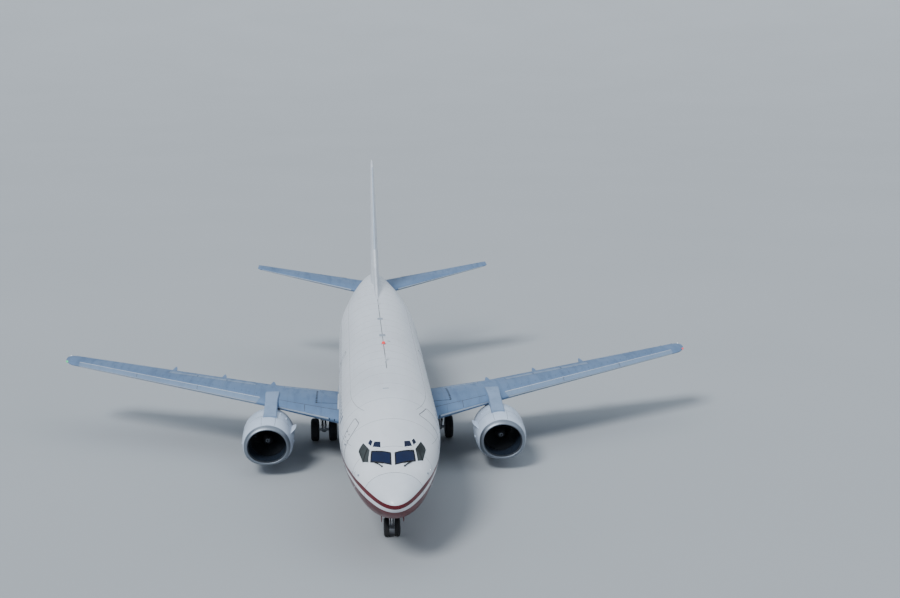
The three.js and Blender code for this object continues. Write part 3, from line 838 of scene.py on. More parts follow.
@dataclass(frozen=True)
class WingPaint(Finish):
    """Paint in two tones that cloud into each other, with chordwise streaks and the seams of skin panels along and
    across the span; the wing's grey-blue tones are grey paint with painted blue shade.
    """

    rib: float = 1.45
    stringer: float = 0.94
    lean: float = 0.62
    seam_width: float = 0.009
    seam_colour: Colour = (0.05, 0.06, 0.08)
    # The wing's second, darker tone: grey paint with painted blue shade in its colour.
    upper: Colour = (0.122, 0.194, 0.322)

    def colours(self, graph: Graph) -> tuple[object, Value, Value]:
        """Clouded paint with seams.

        Args:
            graph: the nodes to add to.

        Returns:
            Base colour, soil mask and height.
        """
        x, y, _ = graph.place()
        out = abs(x)
        cloud = graph.noise(0.55, 4.0)
        streak = graph.noise(2.6, 4.0, (1.4, 0.12, 1.0))
        base = graph.mix(self.colour, self.upper, cloud.rise(0.38, 0.66))
        across = (out + 0.25).line(self.rib, self.seam_width)
        seam = across | (y - out * self.lean).line(self.stringer, self.seam_width)
        base = graph.mix(base, self.seam_colour, seam * 0.5)
        mask = (streak.rise(0.45, 0.75) * 0.8 + cloud.rise(0.6, 0.8) * 0.3).held()
        return base, mask, streak * 0.2 - seam


@dataclass(frozen=True)
class BareMetal(Finish):
    """Metal with fine brushing and heat or weather tints."""

    tint: Colour = (0.5, 0.42, 0.36)
    tinted: float = 0.35

    def colours(self, graph: Graph) -> tuple[object, Value, Value]:
        """Brushed metal with tinted clouds.

        Args:
            graph: the nodes to add to.

        Returns:
            Base colour, soil mask and height.
        """
        cloud = graph.noise(self.scale, 4.0, self.stretch)
        brush = graph.noise(self.scale * 30, 2.0, (1.0, 0.06, 1.0))
        base = graph.mix(self.colour, self.tint, cloud.rise(0.4, 0.75) * self.tinted)
        return base, (cloud * 0.5 + brush * 0.5).rise(0.5, 0.7), brush


@dataclass(frozen=True)
class Glass(Finish):
    """Dark glazing whose sheen comes from its gloss."""

    def material(self) -> bpy.types.Material:
        """Builds the material.

        Returns:
            The material.
        """
        graph = Graph(self.name)
        cloud = graph.noise(self.scale, 2.0)
        graph.set(Base_Color=graph.mix(self.colour, toned(self.colour, 0.45), cloud.rise(0.35, 0.65)),
                  Roughness=cloud * 0.06 + self.roughness, IOR=1.4)
        graph.bump(cloud, self.relief, 0.001)
        return graph.material


@dataclass(frozen=True)
class Lamp(Finish):
    """A small light's lens, which glows a little."""

    glow: float = 0.6

    def material(self) -> bpy.types.Material:
        """Builds the material.

        Returns:
            The material.
        """
        graph = Graph(self.name)
        facets = graph.noise(60.0, 1.0)
        lens = graph.mix(self.colour, tuple(min(1.0, c * 1.4 + 0.05) for c in self.colour), facets.rise(0.4, 0.6))
        graph.set(Base_Color=lens, Emission_Color=lens, Emission_Strength=self.glow, Roughness=0.08,
                  Coat_Weight=1.0)
        graph.bump(facets, 0.2, 0.001)
        return graph.material


class Look(Enum):
    """The finishes of the aircraft."""

    HULL = HullPaint("hull_paint", "white_paint", (0.77, 0.785, 0.82), 0.34, coat=0.12, gloss=0.35, soiled=0.16,
                     relief=0.35)
    RADOME = HullPaint("radome_paint", "radome_paint", (0.72, 0.745, 0.79), 0.38, coat=0.08, gloss=0.35,
                       soiled=0.16, relief=0.2, seams=False)
    WHITE = Finish("white_paint", "white_paint", (0.76, 0.775, 0.81), 0.35, coat=0.1, scale=1.2, soiled=0.16)
    # Cowls: white paint with painted shade, darker and bluer than the hull's white.
    COWL = Finish("cowl_paint_and_shade", "white_paint", (0.56, 0.635, 0.755), 0.36, coat=0.15, gloss=0.4, scale=1.2,
                  soiled=0.2)
    # Pylon: its paint with painted blue shade, darker and bluer than the paint itself.
    PYLON = Finish("pylon_paint_and_shade", "white_paint", (0.24, 0.325, 0.46), 0.48, gloss=0.25, scale=1.2, soiled=0.2)
    FIN = WingPaint("fin_paint", "white_paint", (0.76, 0.775, 0.81), 0.35, coat=0.1, soiled=0.12, rib=50.0,
                    lean=0.0, upper=(0.68, 0.705, 0.75), relief=0.3)
    RED = Finish("red_paint", "red_paint", (0.15, 0.010, 0.020), 0.38, coat=0.1, gloss=0.3, scale=1.5)
    # Wing and slats: grey paint with painted blue shade, so their colours are darker and bluer than the paint
    # itself.
    WING = WingPaint("wing_paint_and_shade", "grey_paint", (0.140, 0.218, 0.350), 0.55, gloss=0.2, soiled=0.22, relief=0.35)
    SLAT = WingPaint("slat_paint_and_shade", "grey_paint", (0.205, 0.28, 0.395), 0.5, gloss=0.25, soiled=0.14, lean=50.0,
                     rib=60.0, upper=(0.19, 0.26, 0.375), relief=0.2)
    GREY = Finish("grey_paint", "grey_paint", (0.33, 0.37, 0.43), 0.5, scale=2.0, soiled=0.35)
    FAIRING = Finish("fairing_paint", "grey_paint", (0.36, 0.40, 0.46), 0.45, gloss=0.3, scale=0.8, soiled=0.4,
                     stretch=(1.0, 0.2, 1.0))
    WELL = Finish("well_primer", "engine_dark", (0.20, 0.22, 0.20), 0.6, scale=3.0, soiled=0.6)
    # Bare metal of the lip, also on handles, latches and fittings, with painted shade: darker and bluer than
    # bright aluminium.
    LIP = BareMetal("inlet_metal_and_shade", "bare_metal", (0.27, 0.30, 0.345), 0.46, 1.0, tint=(0.20, 0.225, 0.265),
                    soiled=0.1, relief=0.02)
    EDGE = BareMetal("bright_edge", "bare_metal", (0.46, 0.52, 0.60), 0.42, 0.5, tint=(0.38, 0.43, 0.51),
                     soiled=0.05, relief=0.02)
    HOT = BareMetal("hot_metal", "hot_metal", (0.42, 0.38, 0.34), 0.38, 0.9, tint=(0.28, 0.20, 0.16), tinted=0.7,
                    soiled=0.3)
    TITANIUM = BareMetal("titanium", "hot_metal", (0.075, 0.082, 0.095), 0.42, 0.7, tint=(0.04, 0.045, 0.055),
                         tinted=0.5)
    CHROME = BareMetal("chrome", "bare_metal", (0.85, 0.86, 0.88), 0.1, 1.0, soiled=0.05, scale=6.0,
                       tint=(0.7, 0.7, 0.7))
    # Duct lining: a dark lining with painted shade in its colour, near black with a blue tint.
    DUCT = Finish("duct_lining_and_shade", "engine_dark", (0.016, 0.024, 0.040), 0.5, metallic=0.1, gloss=0.3, scale=8.0,
                  soil=(0.03, 0.03, 0.03), soiled=0.3, relief=0.2)
    DARK = Finish("dark_casing", "engine_dark", (0.035, 0.037, 0.042), 0.5, metallic=0.3, scale=4.0, soiled=0.4)
    GEAR = Finish("gear_enamel", "gear_steel", (0.42, 0.445, 0.48), 0.38, metallic=0.2, coat=0.1, scale=5.0,
                  soiled=0.5)
    HUB = Finish("hub_enamel", "gear_steel", (0.50, 0.52, 0.55), 0.38, metallic=0.4, scale=9.0, soiled=0.5)
    TYRE = Finish("tyre_rubber", "tyre", (0.022, 0.022, 0.024), 0.8, scale=9.0, soil=(0.12, 0.11, 0.10),
                  soiled=0.35, relief=0.35)
    SEALANT = Finish("dark_sealant", "engine_dark", (0.07, 0.07, 0.08), 0.6, scale=6.0)
    BLACK = Finish("black_paint", "engine_dark", (0.014, 0.014, 0.016), 0.5, gloss=0.2, scale=5.0, soiled=0.05)
    PANE = Glass("cockpit_pane", "cockpit_glass", (0.003, 0.010, 0.045), 0.05, scale=1.5, relief=0.02)
    SIDE_PANE = Glass("side_pane", "cockpit_glass", (0.050, 0.056, 0.056), 0.06, scale=1.5, relief=0.02)
    LENS = Glass("dark_lens", "cockpit_glass", (0.03, 0.04, 0.055), 0.08, scale=20.0, relief=0.02)
    CABIN_PANE = Glass("cabin_pane", "cockpit_glass", (0.035, 0.045, 0.06), 0.10, scale=5.0, relief=0.02)
    CLEAR_LAMP = Lamp("clear_lamp", "cockpit_glass", (0.85, 0.87, 0.9), glow=0.5)
    RED_LAMP = Lamp("red_lamp", "cockpit_glass", (0.7, 0.02, 0.02), glow=0.6)
    GREEN_LAMP = Lamp("green_lamp", "cockpit_glass", (0.02, 0.5, 0.15), glow=0.6)


AIRFRAME = "airframe"
SHARP_EDGE = 32.0


@cache
def material_of(look: Look) -> bpy.types.Material:
    """The material of a finish, built at its first use."""
    return look.value.material()


def dress(name: str, form: Form | Sequence[Form], look: Look, body: str = AIRFRAME,
          stands_for: Sequence[str] = ()) -> None:
    """Puts a piece in the scene.

    Args:
        name: the piece's name.
        form: its mesh in millimetres, or the forms that it is joined from.
        look: its finish.
        body: the CAD body it rides on.
        stands_for: CAD nodes that it replaces.
    """
    mesh = mesh_of(name, form if isinstance(form, Form) else joined(form), MM)
    mesh.materials.append(material_of(look))
    mesh.shade_smooth()
    mesh.set_sharp_from_angle(angle=math.radians(SHARP_EDGE))
    obj = bpy.data.objects.new(name, mesh)
    bpy.context.scene.collection.objects.link(obj)
    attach(obj, body)
    if stands_for:
        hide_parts(*stands_for)
    log.info("%-28s %-18s %6d faces", name, body, len(mesh.polygons))


def pair(name: str, form: Form | Sequence[Form], look: Look, body: str = AIRFRAME, stands_for: str = "") -> None:
    """Puts a piece and its mirror image in the scene.

    Args:
        name: the name of both, without the side.
        form: the left one's mesh, or the forms that it is joined from.
        look: its finish.
        body: the CAD body it rides on; one other than the airframe has a side too.
        stands_for: the CAD node that it replaces, without the side.
    """
    left = form if isinstance(form, Form) else joined(form)
    for side, shape in (("left", left), ("right", left.mirrored())):
        own = body if body == AIRFRAME else f"{body}_{side}"
        dress(f"{name}_{side}", shape, look, own, [f"{stands_for}_{side}"] if stands_for else ())


# Fuselage


FUSELAGE = Hull(np.array([
    [0, 20, 2500, 2480, 2460], [40, 170, 2600, 2485, 2340], [150, 330, 2720, 2500, 2220],
    [500, 620, 2950, 2530, 1950], [1220, 1010, 3300, 2600, 1655], [1600, 1170, 3450, 2700, 1555],
    [1950, 1300, 3740, 2830, 1470], [2360, 1430, 4000, 2970, 1410], [3000, 1600, 4330, 3150, 1340],
    [4000, 1765, 4760, 3320, 1295], [5200, 1860, 5090, 3410, 1290], [6400, 1880, 5265, 3420, 1290],
    [7300, 1880, 5300, 3420, 1290], [21500, 1880, 5300, 3420, 1290], [23000, 1860, 5300, 3440, 1370],
    [24500, 1780, 5300, 3520, 1620], [26000, 1620, 5290, 3650, 2010], [27500, 1390, 5270, 3840, 2470],
    [29000, 1090, 5220, 4060, 2960], [30200, 810, 5140, 4250, 3360], [31600, 430, 4980, 4460, 3950],
    [32200, 210, 4830, 4620, 4410]], float), warp=np.sqrt)
BELLY = Hull(np.array([
    [9500, 1050, 2000, 1750, 1335], [10800, 1700, 2600, 2000, 1200], [12000, 1960, 2850, 2100, 1140],
    [17400, 1960, 2850, 2100, 1140], [18900, 1700, 2600, 2000, 1210], [20300, 1050, 2000, 1750, 1335]], float))


@dataclass
class Fuselage:
    """The body's skin in its pieces, with the wells and holds that are open."""

    joints: tuple[tuple[str, float, float], ...] = (
        ("radome", 0, 1220), ("fuselage_nose", 1220, 5600), ("fuselage_forward", 5600, 11200),
        ("fuselage_center", 11200, 18600), ("fuselage_aft", 18600, 24500), ("fuselage_tail", 24500, 30200),
        ("tail_cone", 30200, 32200))
    seam: float = 3.0
    wall: float = 90.0
    door_gap: float = 10.0
    well: tuple[float, ...] = (-370, 370, 2850, 4400, 1000, 1900)
    wheel: tuple[float, float, float] = (950, 16450, 560)
    hatches: tuple[tuple[str, float, float], ...] = (("forward", 7600, 8820), ("aft", 19300, 20520))
    sill: float = 1700.0
    head: float = 2450.0
    hold: tuple[float, float, float, float] = (350, 1610, 2720, -450)
    hinge: tuple[float, float, float] = (-1560, 2440, 20)
    blunt_to: float = 5600.0

    def stations(self, s0: float, s1: float) -> Array:
        """Where a piece of the skin has its sections, dense at the nose.

        Args:
            s0: its front joint.
            s1: its rear joint.

        Returns:
            The stations.
        """
        if s0 < self.blunt_to:
            return np.linspace(math.sqrt(s0), math.sqrt(s1 - self.seam), 64 if s0 else 40) ** 2
        return np.linspace(s0, s1 - self.seam, max(6, int((s1 - s0) / 200)))

    def inner(self) -> Form:
        """The space inside the wall."""
        return FUSELAGE.form(np.linspace(1300, 30000, 120), -self.wall)

    def hold_space(self, s0: float, s1: float) -> list[Form]:
        """The open space of a hold.

        Args:
            s0: front of its door.
            s1: rear of its door.

        Returns:
            The doorway and the hollow part behind it.
        """
        side, floor, ceiling, deep = self.hold
        gap = self.door_gap
        doorway = block(-2500, -800, s0 - gap, s1 + gap, self.sill - gap, self.head + gap)
        room = block(-2500, deep, s0 - side, s1 + side, floor, ceiling)
        return [doorway, shaped(room, [self.inner()], Cut.KEEP)]

    def wells(self) -> list[Form]:
        """The openings for the main wheels and legs.

        Returns:
            Closed forms to cut with.
        """
        x, s, radius = self.wheel
        well = rod(spot(x, s, 900), spot(x, s, 1850), radius, facets=48, bevel=0.01)
        slot = block(1300, 2100, s - 230, s + 230, 900, 1800)
        return [well, slot, well.mirrored(), slot.mirrored()]

    def skin_pieces(self) -> None:
        """The painted skin."""
        tail = lathe([(0, 0), (150, 0), (165, 500), (0, 500)], spot(0, 31800, 4620), AFT, 40)
        openings = {"fuselage_nose": [block(*self.well)], "fuselage_center": self.wells(), "tail_cone": [tail],
                    "fuselage_forward": self.hold_space(*self.hatches[0][1:]),
                    "fuselage_aft": self.hold_space(*self.hatches[1][1:])}
        for name, s0, s1 in self.joints:
            form = FUSELAGE.form(self.stations(s0, s1))
            if name in openings:
                form = shaped(form, openings[name])
            dress(name, form, Look.RADOME if name == "radome" else Look.HULL, stands_for=[name])

    def cargo_doors(self) -> None:
        """The two doors of the holds, with handles and the tube that they hang on."""
        x, z, radius = self.hinge
        _, floor, _, deep = self.hold
        for where, s0, s1 in self.hatches:
            node = f"cargo_door_{where}"
            shell = shaped(FUSELAGE.form(np.linspace(s0 - 200, s1 + 200, 30)), [self.inner()])
            panel = shaped(shell, [block(-2400, -300, s0, s1, self.sill, self.head)], Cut.KEEP)
            ends = spot(x, s0 - 60, z), spot(x, s1 + 60, z)
            dress(node, shaped(panel, [rod(*ends, radius + 1, bevel=0.01)]), Look.HULL, node, [node])
            middle = (s0 + s1) / 2
            edge = dense(softened(rect(middle - 110, middle + 110, 1980, 2050), 25, 3), step=30)
            edge = FUSELAGE.side_path(edge, -1)
            dress(f"{node}_handle", FUSELAGE.plate(edge, 3.0, 4.0) + FUSELAGE.strip(edge, 9, 6.0, 3.0),
                  Look.LIP, node)
            dress(f"{node}_tube", rod(*ends, radius - 2), Look.GEAR)
            plate = block(-1700, deep - 5, s0 - 300, s1 + 300, floor + 1, floor + 14)
            dress(f"hold_floor_{where}", shaped(plate, [self.inner()], Cut.KEEP), Look.WELL)

    def tail_end(self) -> None:
        """The auxiliary power unit's exhaust."""
        ring = [(150, 0), (150, 480), (172, 405), (210, 385), (216, 392), (200, 412), (168, 440)]
        dress("apu_exhaust", lathe(ring, spot(0, 31790, 4620), AFT, 48, closed=True), Look.HOT)
        inside = [(0, 20), (148, 20), (148, 40), (60, 60), (0, 160)]
        dress("apu_exhaust_inside", lathe(inside, spot(0, 31800, 4620), AFT, 32), Look.DARK)

    def belly(self) -> None:
        """The fairing under the wing."""
        form = BELLY.form(np.linspace(9500, 20300, 70))
        dress("belly_fairing", shaped(form, self.wells()), Look.FAIRING, stands_for=["belly_fairing"])

    def build(self) -> None:
        """All of the body."""
        self.skin_pieces()
        self.cargo_doors()
        self.tail_end()
        self.belly()


@dataclass
class CockpitGlass:
    """The panes of the flight deck, given by stations and angles in degrees from the crown."""

    panes: dict[str, Table] = field(default_factory=lambda: {
        "front": ((1596, 2.9), (1855, 38.4), (2231, 32.3), (1997, 2.6)),
        "side": ((1884, 41.5), (2030, 52.5), (2527, 53.1), (2610, 50.0), (2730, 41.1), (2290, 33.8)),
        "brow_inner": ((2237, 17.1), (2367, 29.0), (2563, 24.8), (2486, 16.2)),
        "brow_outer": ((2414, 30.9), (2594, 34.6), (2727, 29.9), (2591, 26.8)),
    })
    corner: float = 22.0
    frame_width: float = 34.0
    seal_width: float = 44.0
    proud: float = 4.0
    girth: float = 1300.0
    post: Table = ((2012.0, 51.2), (2392.0, 37.1))
    arm: Table = ((1588, 19.5, 20), (1684, 23.7, 42), (1790, 30.8, 34))
    blade: Table = ((1700, 17.0, 22), (1765, 25.5, 24), (1838, 35.0, 22))

    def flat(self, corners: Sequence[tuple[float, float]]) -> Array:
        """Corners in stations and degrees as lengths on the unrolled skin."""
        return np.array([(s, math.radians(turn) * self.girth) for s, turn in corners])

    def outline(self, corners: Sequence[tuple[float, float]]) -> Array:
        """A pane's edge as stations and angles in radians."""
        return dense(softened(self.flat(corners), self.corner, 3), step=45) / [1, self.girth]

    def build(self) -> None:
        """Panes, frames, the posts and the wipers."""
        pieces: dict[str, list[Form]] = {"glass": [], "side": [], "frames": [], "seals": [], "posts": []}
        for name, corners in self.panes.items():
            edge = self.outline(corners)
            for side in SIDES:
                path = edge * [1, side]
                pieces["side" if name == "side" else "glass"].append(FUSELAGE.plate(path, self.proud, 12, 5))
                kind, width, shift = (("seals", self.seal_width, 0.1) if name == "front"
                                      else ("frames", self.frame_width, 0.9))
                pieces[kind].append(FUSELAGE.strip(path, width, self.proud + 3, 5, shift=shift))
        for side in SIDES:
            line = dense(self.flat(self.post), False, 40) / [1, self.girth] * [1, side]
            pieces["posts"].append(FUSELAGE.strip(line, 34, self.proud + 5, 4, closed=False))
        dress("cockpit_panes", pieces["glass"], Look.PANE, stands_for=["cockpit_glass"])
        dress("cockpit_side_panes", pieces["side"], Look.SIDE_PANE)
        dress("cockpit_frames", pieces["frames"], Look.WHITE)
        dress("windscreen_seals", pieces["seals"], Look.BLACK)
        dress("side_pane_posts", pieces["posts"], Look.BLACK)
        self.wipers()

    def wipers(self) -> None:
        """An arm, a blade and a pivot under each front pane."""
        parts = []
        for side in SIDES:
            arm, blade = ([FUSELAGE.off(s, np.radians(side * turn), out) for s, turn, out in line]
                          for line in (self.arm, self.blade))
            parts += [pipe(smooth_path(arm), 18), pipe(smooth_path(blade), 19)]
            parts.append(lathe([(0, -20), (30, -20), (30, 20), (16, 30), (0, 30)], arm[0], (0, -0.4, 1), 20))
        dress("wipers", parts, Look.BLACK)


@dataclass
class CabinWindows:
    """The rows of cabin windows."""

    first: float = 5650.0
    pitch: float = 508.0
    count: int = 40
    height: float = 3950.0
    size: tuple[float, float] = (250.0, 355.0)

    def build(self) -> None:
        """Panes and rims of both sides, in two pieces a side."""
        w, h = self.size[0] / 2, self.size[1] / 2
        for side, label in zip(SIDES, ("left", "right")):
            panes, rims = [], []
            for i in range(self.count):
                s = self.first + i * self.pitch
                edge = softened(rect(s - w, s + w, self.height - h, self.height + h), 108, 5)
                path = FUSELAGE.side_path(edge, side)
                panes.append(FUSELAGE.plate(path, 1.5, 6, 2))
                rims.append(FUSELAGE.strip(path, 30, 4.0, 5, shift=0.8))
            dress(f"cabin_panes_{label}", panes, Look.CABIN_PANE)
            dress(f"cabin_window_rims_{label}", rims, Look.WHITE)


@dataclass
class Doors:
    """Fixed doors, hatches and panels, drawn as their edges, sills and handles."""

    cabin: tuple[tuple[str, int, float, float, float, float], ...] = (
        ("entry_door_forward", 1, 4060, 4920, 2700, 4530), ("service_door_forward", -1, 3440, 4030, 2780, 4410),
        ("entry_door_aft", 1, 25980, 26740, 2760, 4530), ("service_door_aft", -1, 25980, 26740, 2800, 4450),
        ("wing_exit_left", 1, 14400, 14910, 3480, 4450), ("wing_exit_right", -1, 14400, 14910, 3480, 4450))
    line: float = 26.0
    forward_right: Table = (
        (3440, 2780), (4030, 2780), (4050, 3950), (4130, 4180), (4270, 4410), (3760, 4340), (3560, 4080),
        (3450, 3750))
    marks: Table = ((3977, -61.9), (3709, -60.4), (3895, -69.0), (3537, -67.0))
    panels: tuple[tuple[int, float, float, float, float], ...] = (
        (-1, 5300, 5560, 2150, 2380), (1, 5900, 6260, 1900, 2150), (-1, 10100, 10380, 2050, 2230),
        (1, 21900, 22300, 1950, 2200), (1, 23600, 23900, 2150, 2400), (-1, 22700, 23000, 2050, 2350),
        (1, 7900, 8300, 1980, 2120), (-1, 24500, 24900, 2400, 2700), (1, 28600, 29500, 3300, 3700),
        (-1, 28600, 29500, 3300, 3700))
    tall: float = 1200.0
    crown_line: tuple[float, float] = (8100.0, 22300.0)
    radome_joint: float = 1221.0

    def on_side(self, corners: Sequence[Row], side: int, radius: float) -> Array:
        """An outline on the side of the body from stations and heights."""
        return FUSELAGE.side_path(dense(softened(corners, radius, 4), step=90), side)

    def build(self) -> None:
        """Door lines, fittings, seams and service panels."""
        lines, metal = [], []
        for name, side, s0, s1, z0, z1 in self.cabin:
            corners = self.forward_right if name == "service_door_forward" else rect(s0, s1, z0, z1)
            lines.append(FUSELAGE.strip(self.on_side(corners, side, 110), self.line, 2.5))
            metal += self.fittings(side, s0, s1, z0, z1)
        dress("door_lines", lines, Look.SEALANT)
        dress("door_fittings", metal, Look.LIP)
        gutter = np.radians(np.linspace([0, -38.8], [0, -40.7], 12)) + np.linspace([3747, 0], [4466, 0], 12)
        dress("door_gutter", FUSELAGE.strip(gutter, 22, 14, closed=False), Look.WHITE)
        dress("skin_seams", self.seams(), Look.SEALANT)

    def fittings(self, side: int, s0: float, s1: float, z0: float, z1: float) -> list[Form]:
        """The handle of a door and, where it is tall, its sill and hinges.

        Args:
            side: 1 on the left, -1 on the right.
            s0: its front edge.
            s1: its rear edge.
            z0: its bottom.
            z1: its top.

        Returns:
            The plates.
        """
        s, z = s1 - 150 if side > 0 else s0 + 150, z0 + (z1 - z0) * 0.52
        plates = [(rect(s - 75, s + 75, z - 22, z + 22), 20, 8.0)]
        if z1 - z0 > self.tall:
            plates.append((rect(s0 - 30, s1 + 30, z0 - 70, z0 - 40), 10, 9.0))
            front = s0 - 30 if side > 0 else s1 + 5
            for z in (z0 + (z1 - z0) * level for level in (0.3, 0.72)):
                plates.append((rect(front, front + 25, z - 45, z + 45), 6, 10.0))
        return [FUSELAGE.plate(self.on_side(corners, side, radius), out, 6.0) for corners, radius, out in plates]

    def seams(self) -> list[Form]:
        """Dark marks, panel outlines, the hatches' edges, the radome's joint and the crown's lap.

        Returns:
            Their bands and plates.
        """
        seams = []
        for s, turn in self.marks:
            ring = np.array(rect(-34, 34, -26, 26)) / [1, 1700] + [s, math.radians(turn)]
            seams.append(FUSELAGE.plate(ring, 3, 4, 1))
        for side, *sizes in self.panels:
            seams.append(FUSELAGE.strip(self.on_side(rect(*sizes), side, 40), 9, 1.5))
        for _, s0, s1 in Fuselage.hatches:
            edge = self.on_side(rect(s0 - 14, s1 + 14, Fuselage.sill - 14, Fuselage.head + 14), -1, 30)
            seams.append(FUSELAGE.strip(edge, 26, 2.0, shift=1.0))
        turn = np.linspace(-math.pi, math.pi, 97)[:-1]
        seams.append(FUSELAGE.strip(np.stack([np.full(96, self.radome_joint), turn], 1), 12, 1.5))
        crown = np.stack([np.linspace(*self.crown_line, 90), np.zeros(90)], 1)
        seams.append(FUSELAGE.strip(crown, 26, 2.0, closed=False))
        return seams


# Lifting surfaces


@dataclass
class Airfoil:
    """A lifting surface: span, leading edge, trailing edge, the heights of both, thickness ratio."""

    rows: Table
    camber: float = 0.0
    upright: bool = False
    edge: float = 12.0
    steps: int = 34

    def at(self, span: float) -> Array:
        """The section's row at a span."""
        table = np.array(self.rows, float)
        return np.array([np.interp(span, table[:, 0], column) for column in table.T])

    def station(self, span: float, share: float) -> float:
        """The station at a span and a share of the chord."""
        _, lead, trail, *_ = self.at(span)
        return lead + share * (trail - lead)

    def end(self, span: float, ahead: float = 0.0) -> Array:
        """A point on the trailing edge, or a little ahead of it."""
        row = self.at(span)
        return self.spot(span, row[2] - ahead, row[4])

    def spot(self, span: float, s: float, height: float) -> Array:
        """A point of this surface in the aircraft's frame."""
        return spot(height, s, span) if self.upright else spot(span, s, height)

    def chord(self, row: Array, share: Array) -> tuple[Array, Array, Array]:
        """Reads the section along its chord.

        Args:
            row: the section's row.
            share: shares of the chord.

        Returns:
            Station, middle height and half thickness there.
        """
        _, lead, trail, lead_z, trail_z, ratio = row
        chord = trail - lead
        half = 5 * ratio * chord * (0.2969 * np.sqrt(share) - 0.126 * share - 0.3516 * share ** 2
                                    + 0.2843 * share ** 3 - 0.1036 * share ** 4) + self.edge / 2 * share
        middle = lead_z + share * (trail_z - lead_z) + 4 * self.camber * chord * share * (1 - share)
        return lead + share * chord, middle, half

    def ring(self, row: Array, grow: float = 0.0) -> Array:
        """A closed section.

        Args:
            row: the section's row.
            grow: how far it stands off the skin.

        Returns:
            Its points.
        """
        share = (1 - np.cos(np.linspace(0, math.pi, self.steps))) / 2
        s, middle, half = self.chord(row, share)
        upper = [self.spot(row[0], a, b + c + grow) for a, b, c in zip(s, middle, half)]
        lower = [self.spot(row[0], a, b - c - grow) for a, b, c in zip(s, middle, half)][1:]
        return np.array(upper + lower[::-1])

    def form(self, grow: float = 0.0) -> Form:
        """The closed surface, whose last rows round its tip.

        Args:
            grow: how far it stands off the skin.

        Returns:
            The closed form.
        """
        spans = []
        for a, b in zip(self.rows, self.rows[1:]):
            spans += list(np.linspace(a[0], b[0], max(2, int((b[0] - a[0]) / 400) + 1))[:-1])
        wider = np.array([0, -grow, grow, 0, 0, 0])
        return skin([self.ring(self.at(span) + wider, grow) for span in [*spans, self.rows[-1][0]]])

    def side(self, span: float, s: float, sign: int = 1) -> tuple[Array, Array]:
        """A place on one side of the surface.

        Args:
            span: its span.
            s: its station.
            sign: 1 on the upper or left side, -1 on the other.

        Returns:
            The point and the outward direction there.
        """
        def place(a: float, b: float) -> Array:
            """The point at a span and a station."""
            row = self.at(a)
            share = np.clip((b - row[1]) / (row[2] - row[1]), 0.001, 0.999)
            _, middle, half = self.chord(row, share)
            return self.spot(a, b, float(middle + sign * half))

        along = place(span, s + 5) - place(span, s - 5)
        normal = unit(np.cross(place(span + 5, s) - place(span - 5, s), along))
        lift = normal[0] if self.upright else normal[2]
        return place(span, s), normal if lift * sign > 0 else -normal

    def drawn(self, corners: Sequence[Row], width: float, out: float = 2.0, sign: int = 1,
              closed: bool = True, step: float = 250.0) -> Form:
        """A band on one side of the surface, along a path of spans and stations with points a step apart."""
        places = np.array([self.side(x, s, sign) for x, s in dense(corners, closed, step)])
        return band(places[:, 0], places[:, 1], width, out, 3.0, closed)

    def edge_band(self, spans: Array, reach: float, out: float = 2.5) -> Form:
        """A thin band of metal round the leading edge.

        Args:
            spans: where its sections lie.
            reach: share of the chord that it covers.
            out: how far it stands off the skin.

        Returns:
            The closed band.
        """
        share = np.abs(np.linspace(-1, 1, 11)) * reach
        sign = np.array([1] * 6 + [-1] * 5)
        rows = []
        for span in spans:
            section = list(zip(*self.chord(self.at(span), share), sign))
            outer = [self.spot(span, a - out, b + g * (c + out)) for a, b, c, g in section]
            inner = [self.spot(span, a + 6, b + g * max(c - 8, 0)) for a, b, c, g in section]
            rows.append(np.array(outer + inner[::-1]))
        return skin(rows)

    def hinged(self, body: Form, inner: tuple[float, float], outer: tuple[float, float],
               gap: float = 20.0) -> tuple[Form, Form]:
        """A hinged surface, and the rest of the body with room for it.

        Args:
            body: the surface that carries it.
            inner: span and chord share of the inner end of its hinge line.
            outer: the same for the outer end.
            gap: the room round it.

        Returns:
            The turning piece and the rest.
        """
        ends = []
        for span, share in (inner, outer):
            s, middle, half = self.chord(self.at(span), np.array(share))
            ends.append((self.spot(span, float(s), float(middle)), float(half) * 0.97))
        (start, r0), (end, r1) = ends
        length = float(np.linalg.norm(end - start))
        axis = (end - start) / length
        aft = unit(np.array([0, 1, 0]) - axis * axis[1])
        up = np.cross(axis, aft)

        def behind(a: float, b: float, ahead: float, reach: float = 4000.0) -> Form:
            """The space aft of the hinge line between two places along it."""
            ring = np.array([start + axis * a - aft * ahead + up * h * reach / 2 + aft * g
                             for h, g in ((-1, 0), (1, 0), (1, reach), (-1, reach))])
            return skin([ring, ring + axis * (b - a)])

        def nose(a: float, b: float, spare: float) -> Form:
            """The round front of the surface."""
            return lathe([(r0 + spare, a), (r1 + spare, b)], start, axis, 36)

        turning = shaped(shaped(body, [behind(0, length, 0)], Cut.KEEP), [nose(0, length, 0)], Cut.JOIN)
        rest = shaped(body, [behind(-gap, length + gap, r1 * 0.25), nose(-gap, length + gap, gap)])
        return turning, rest


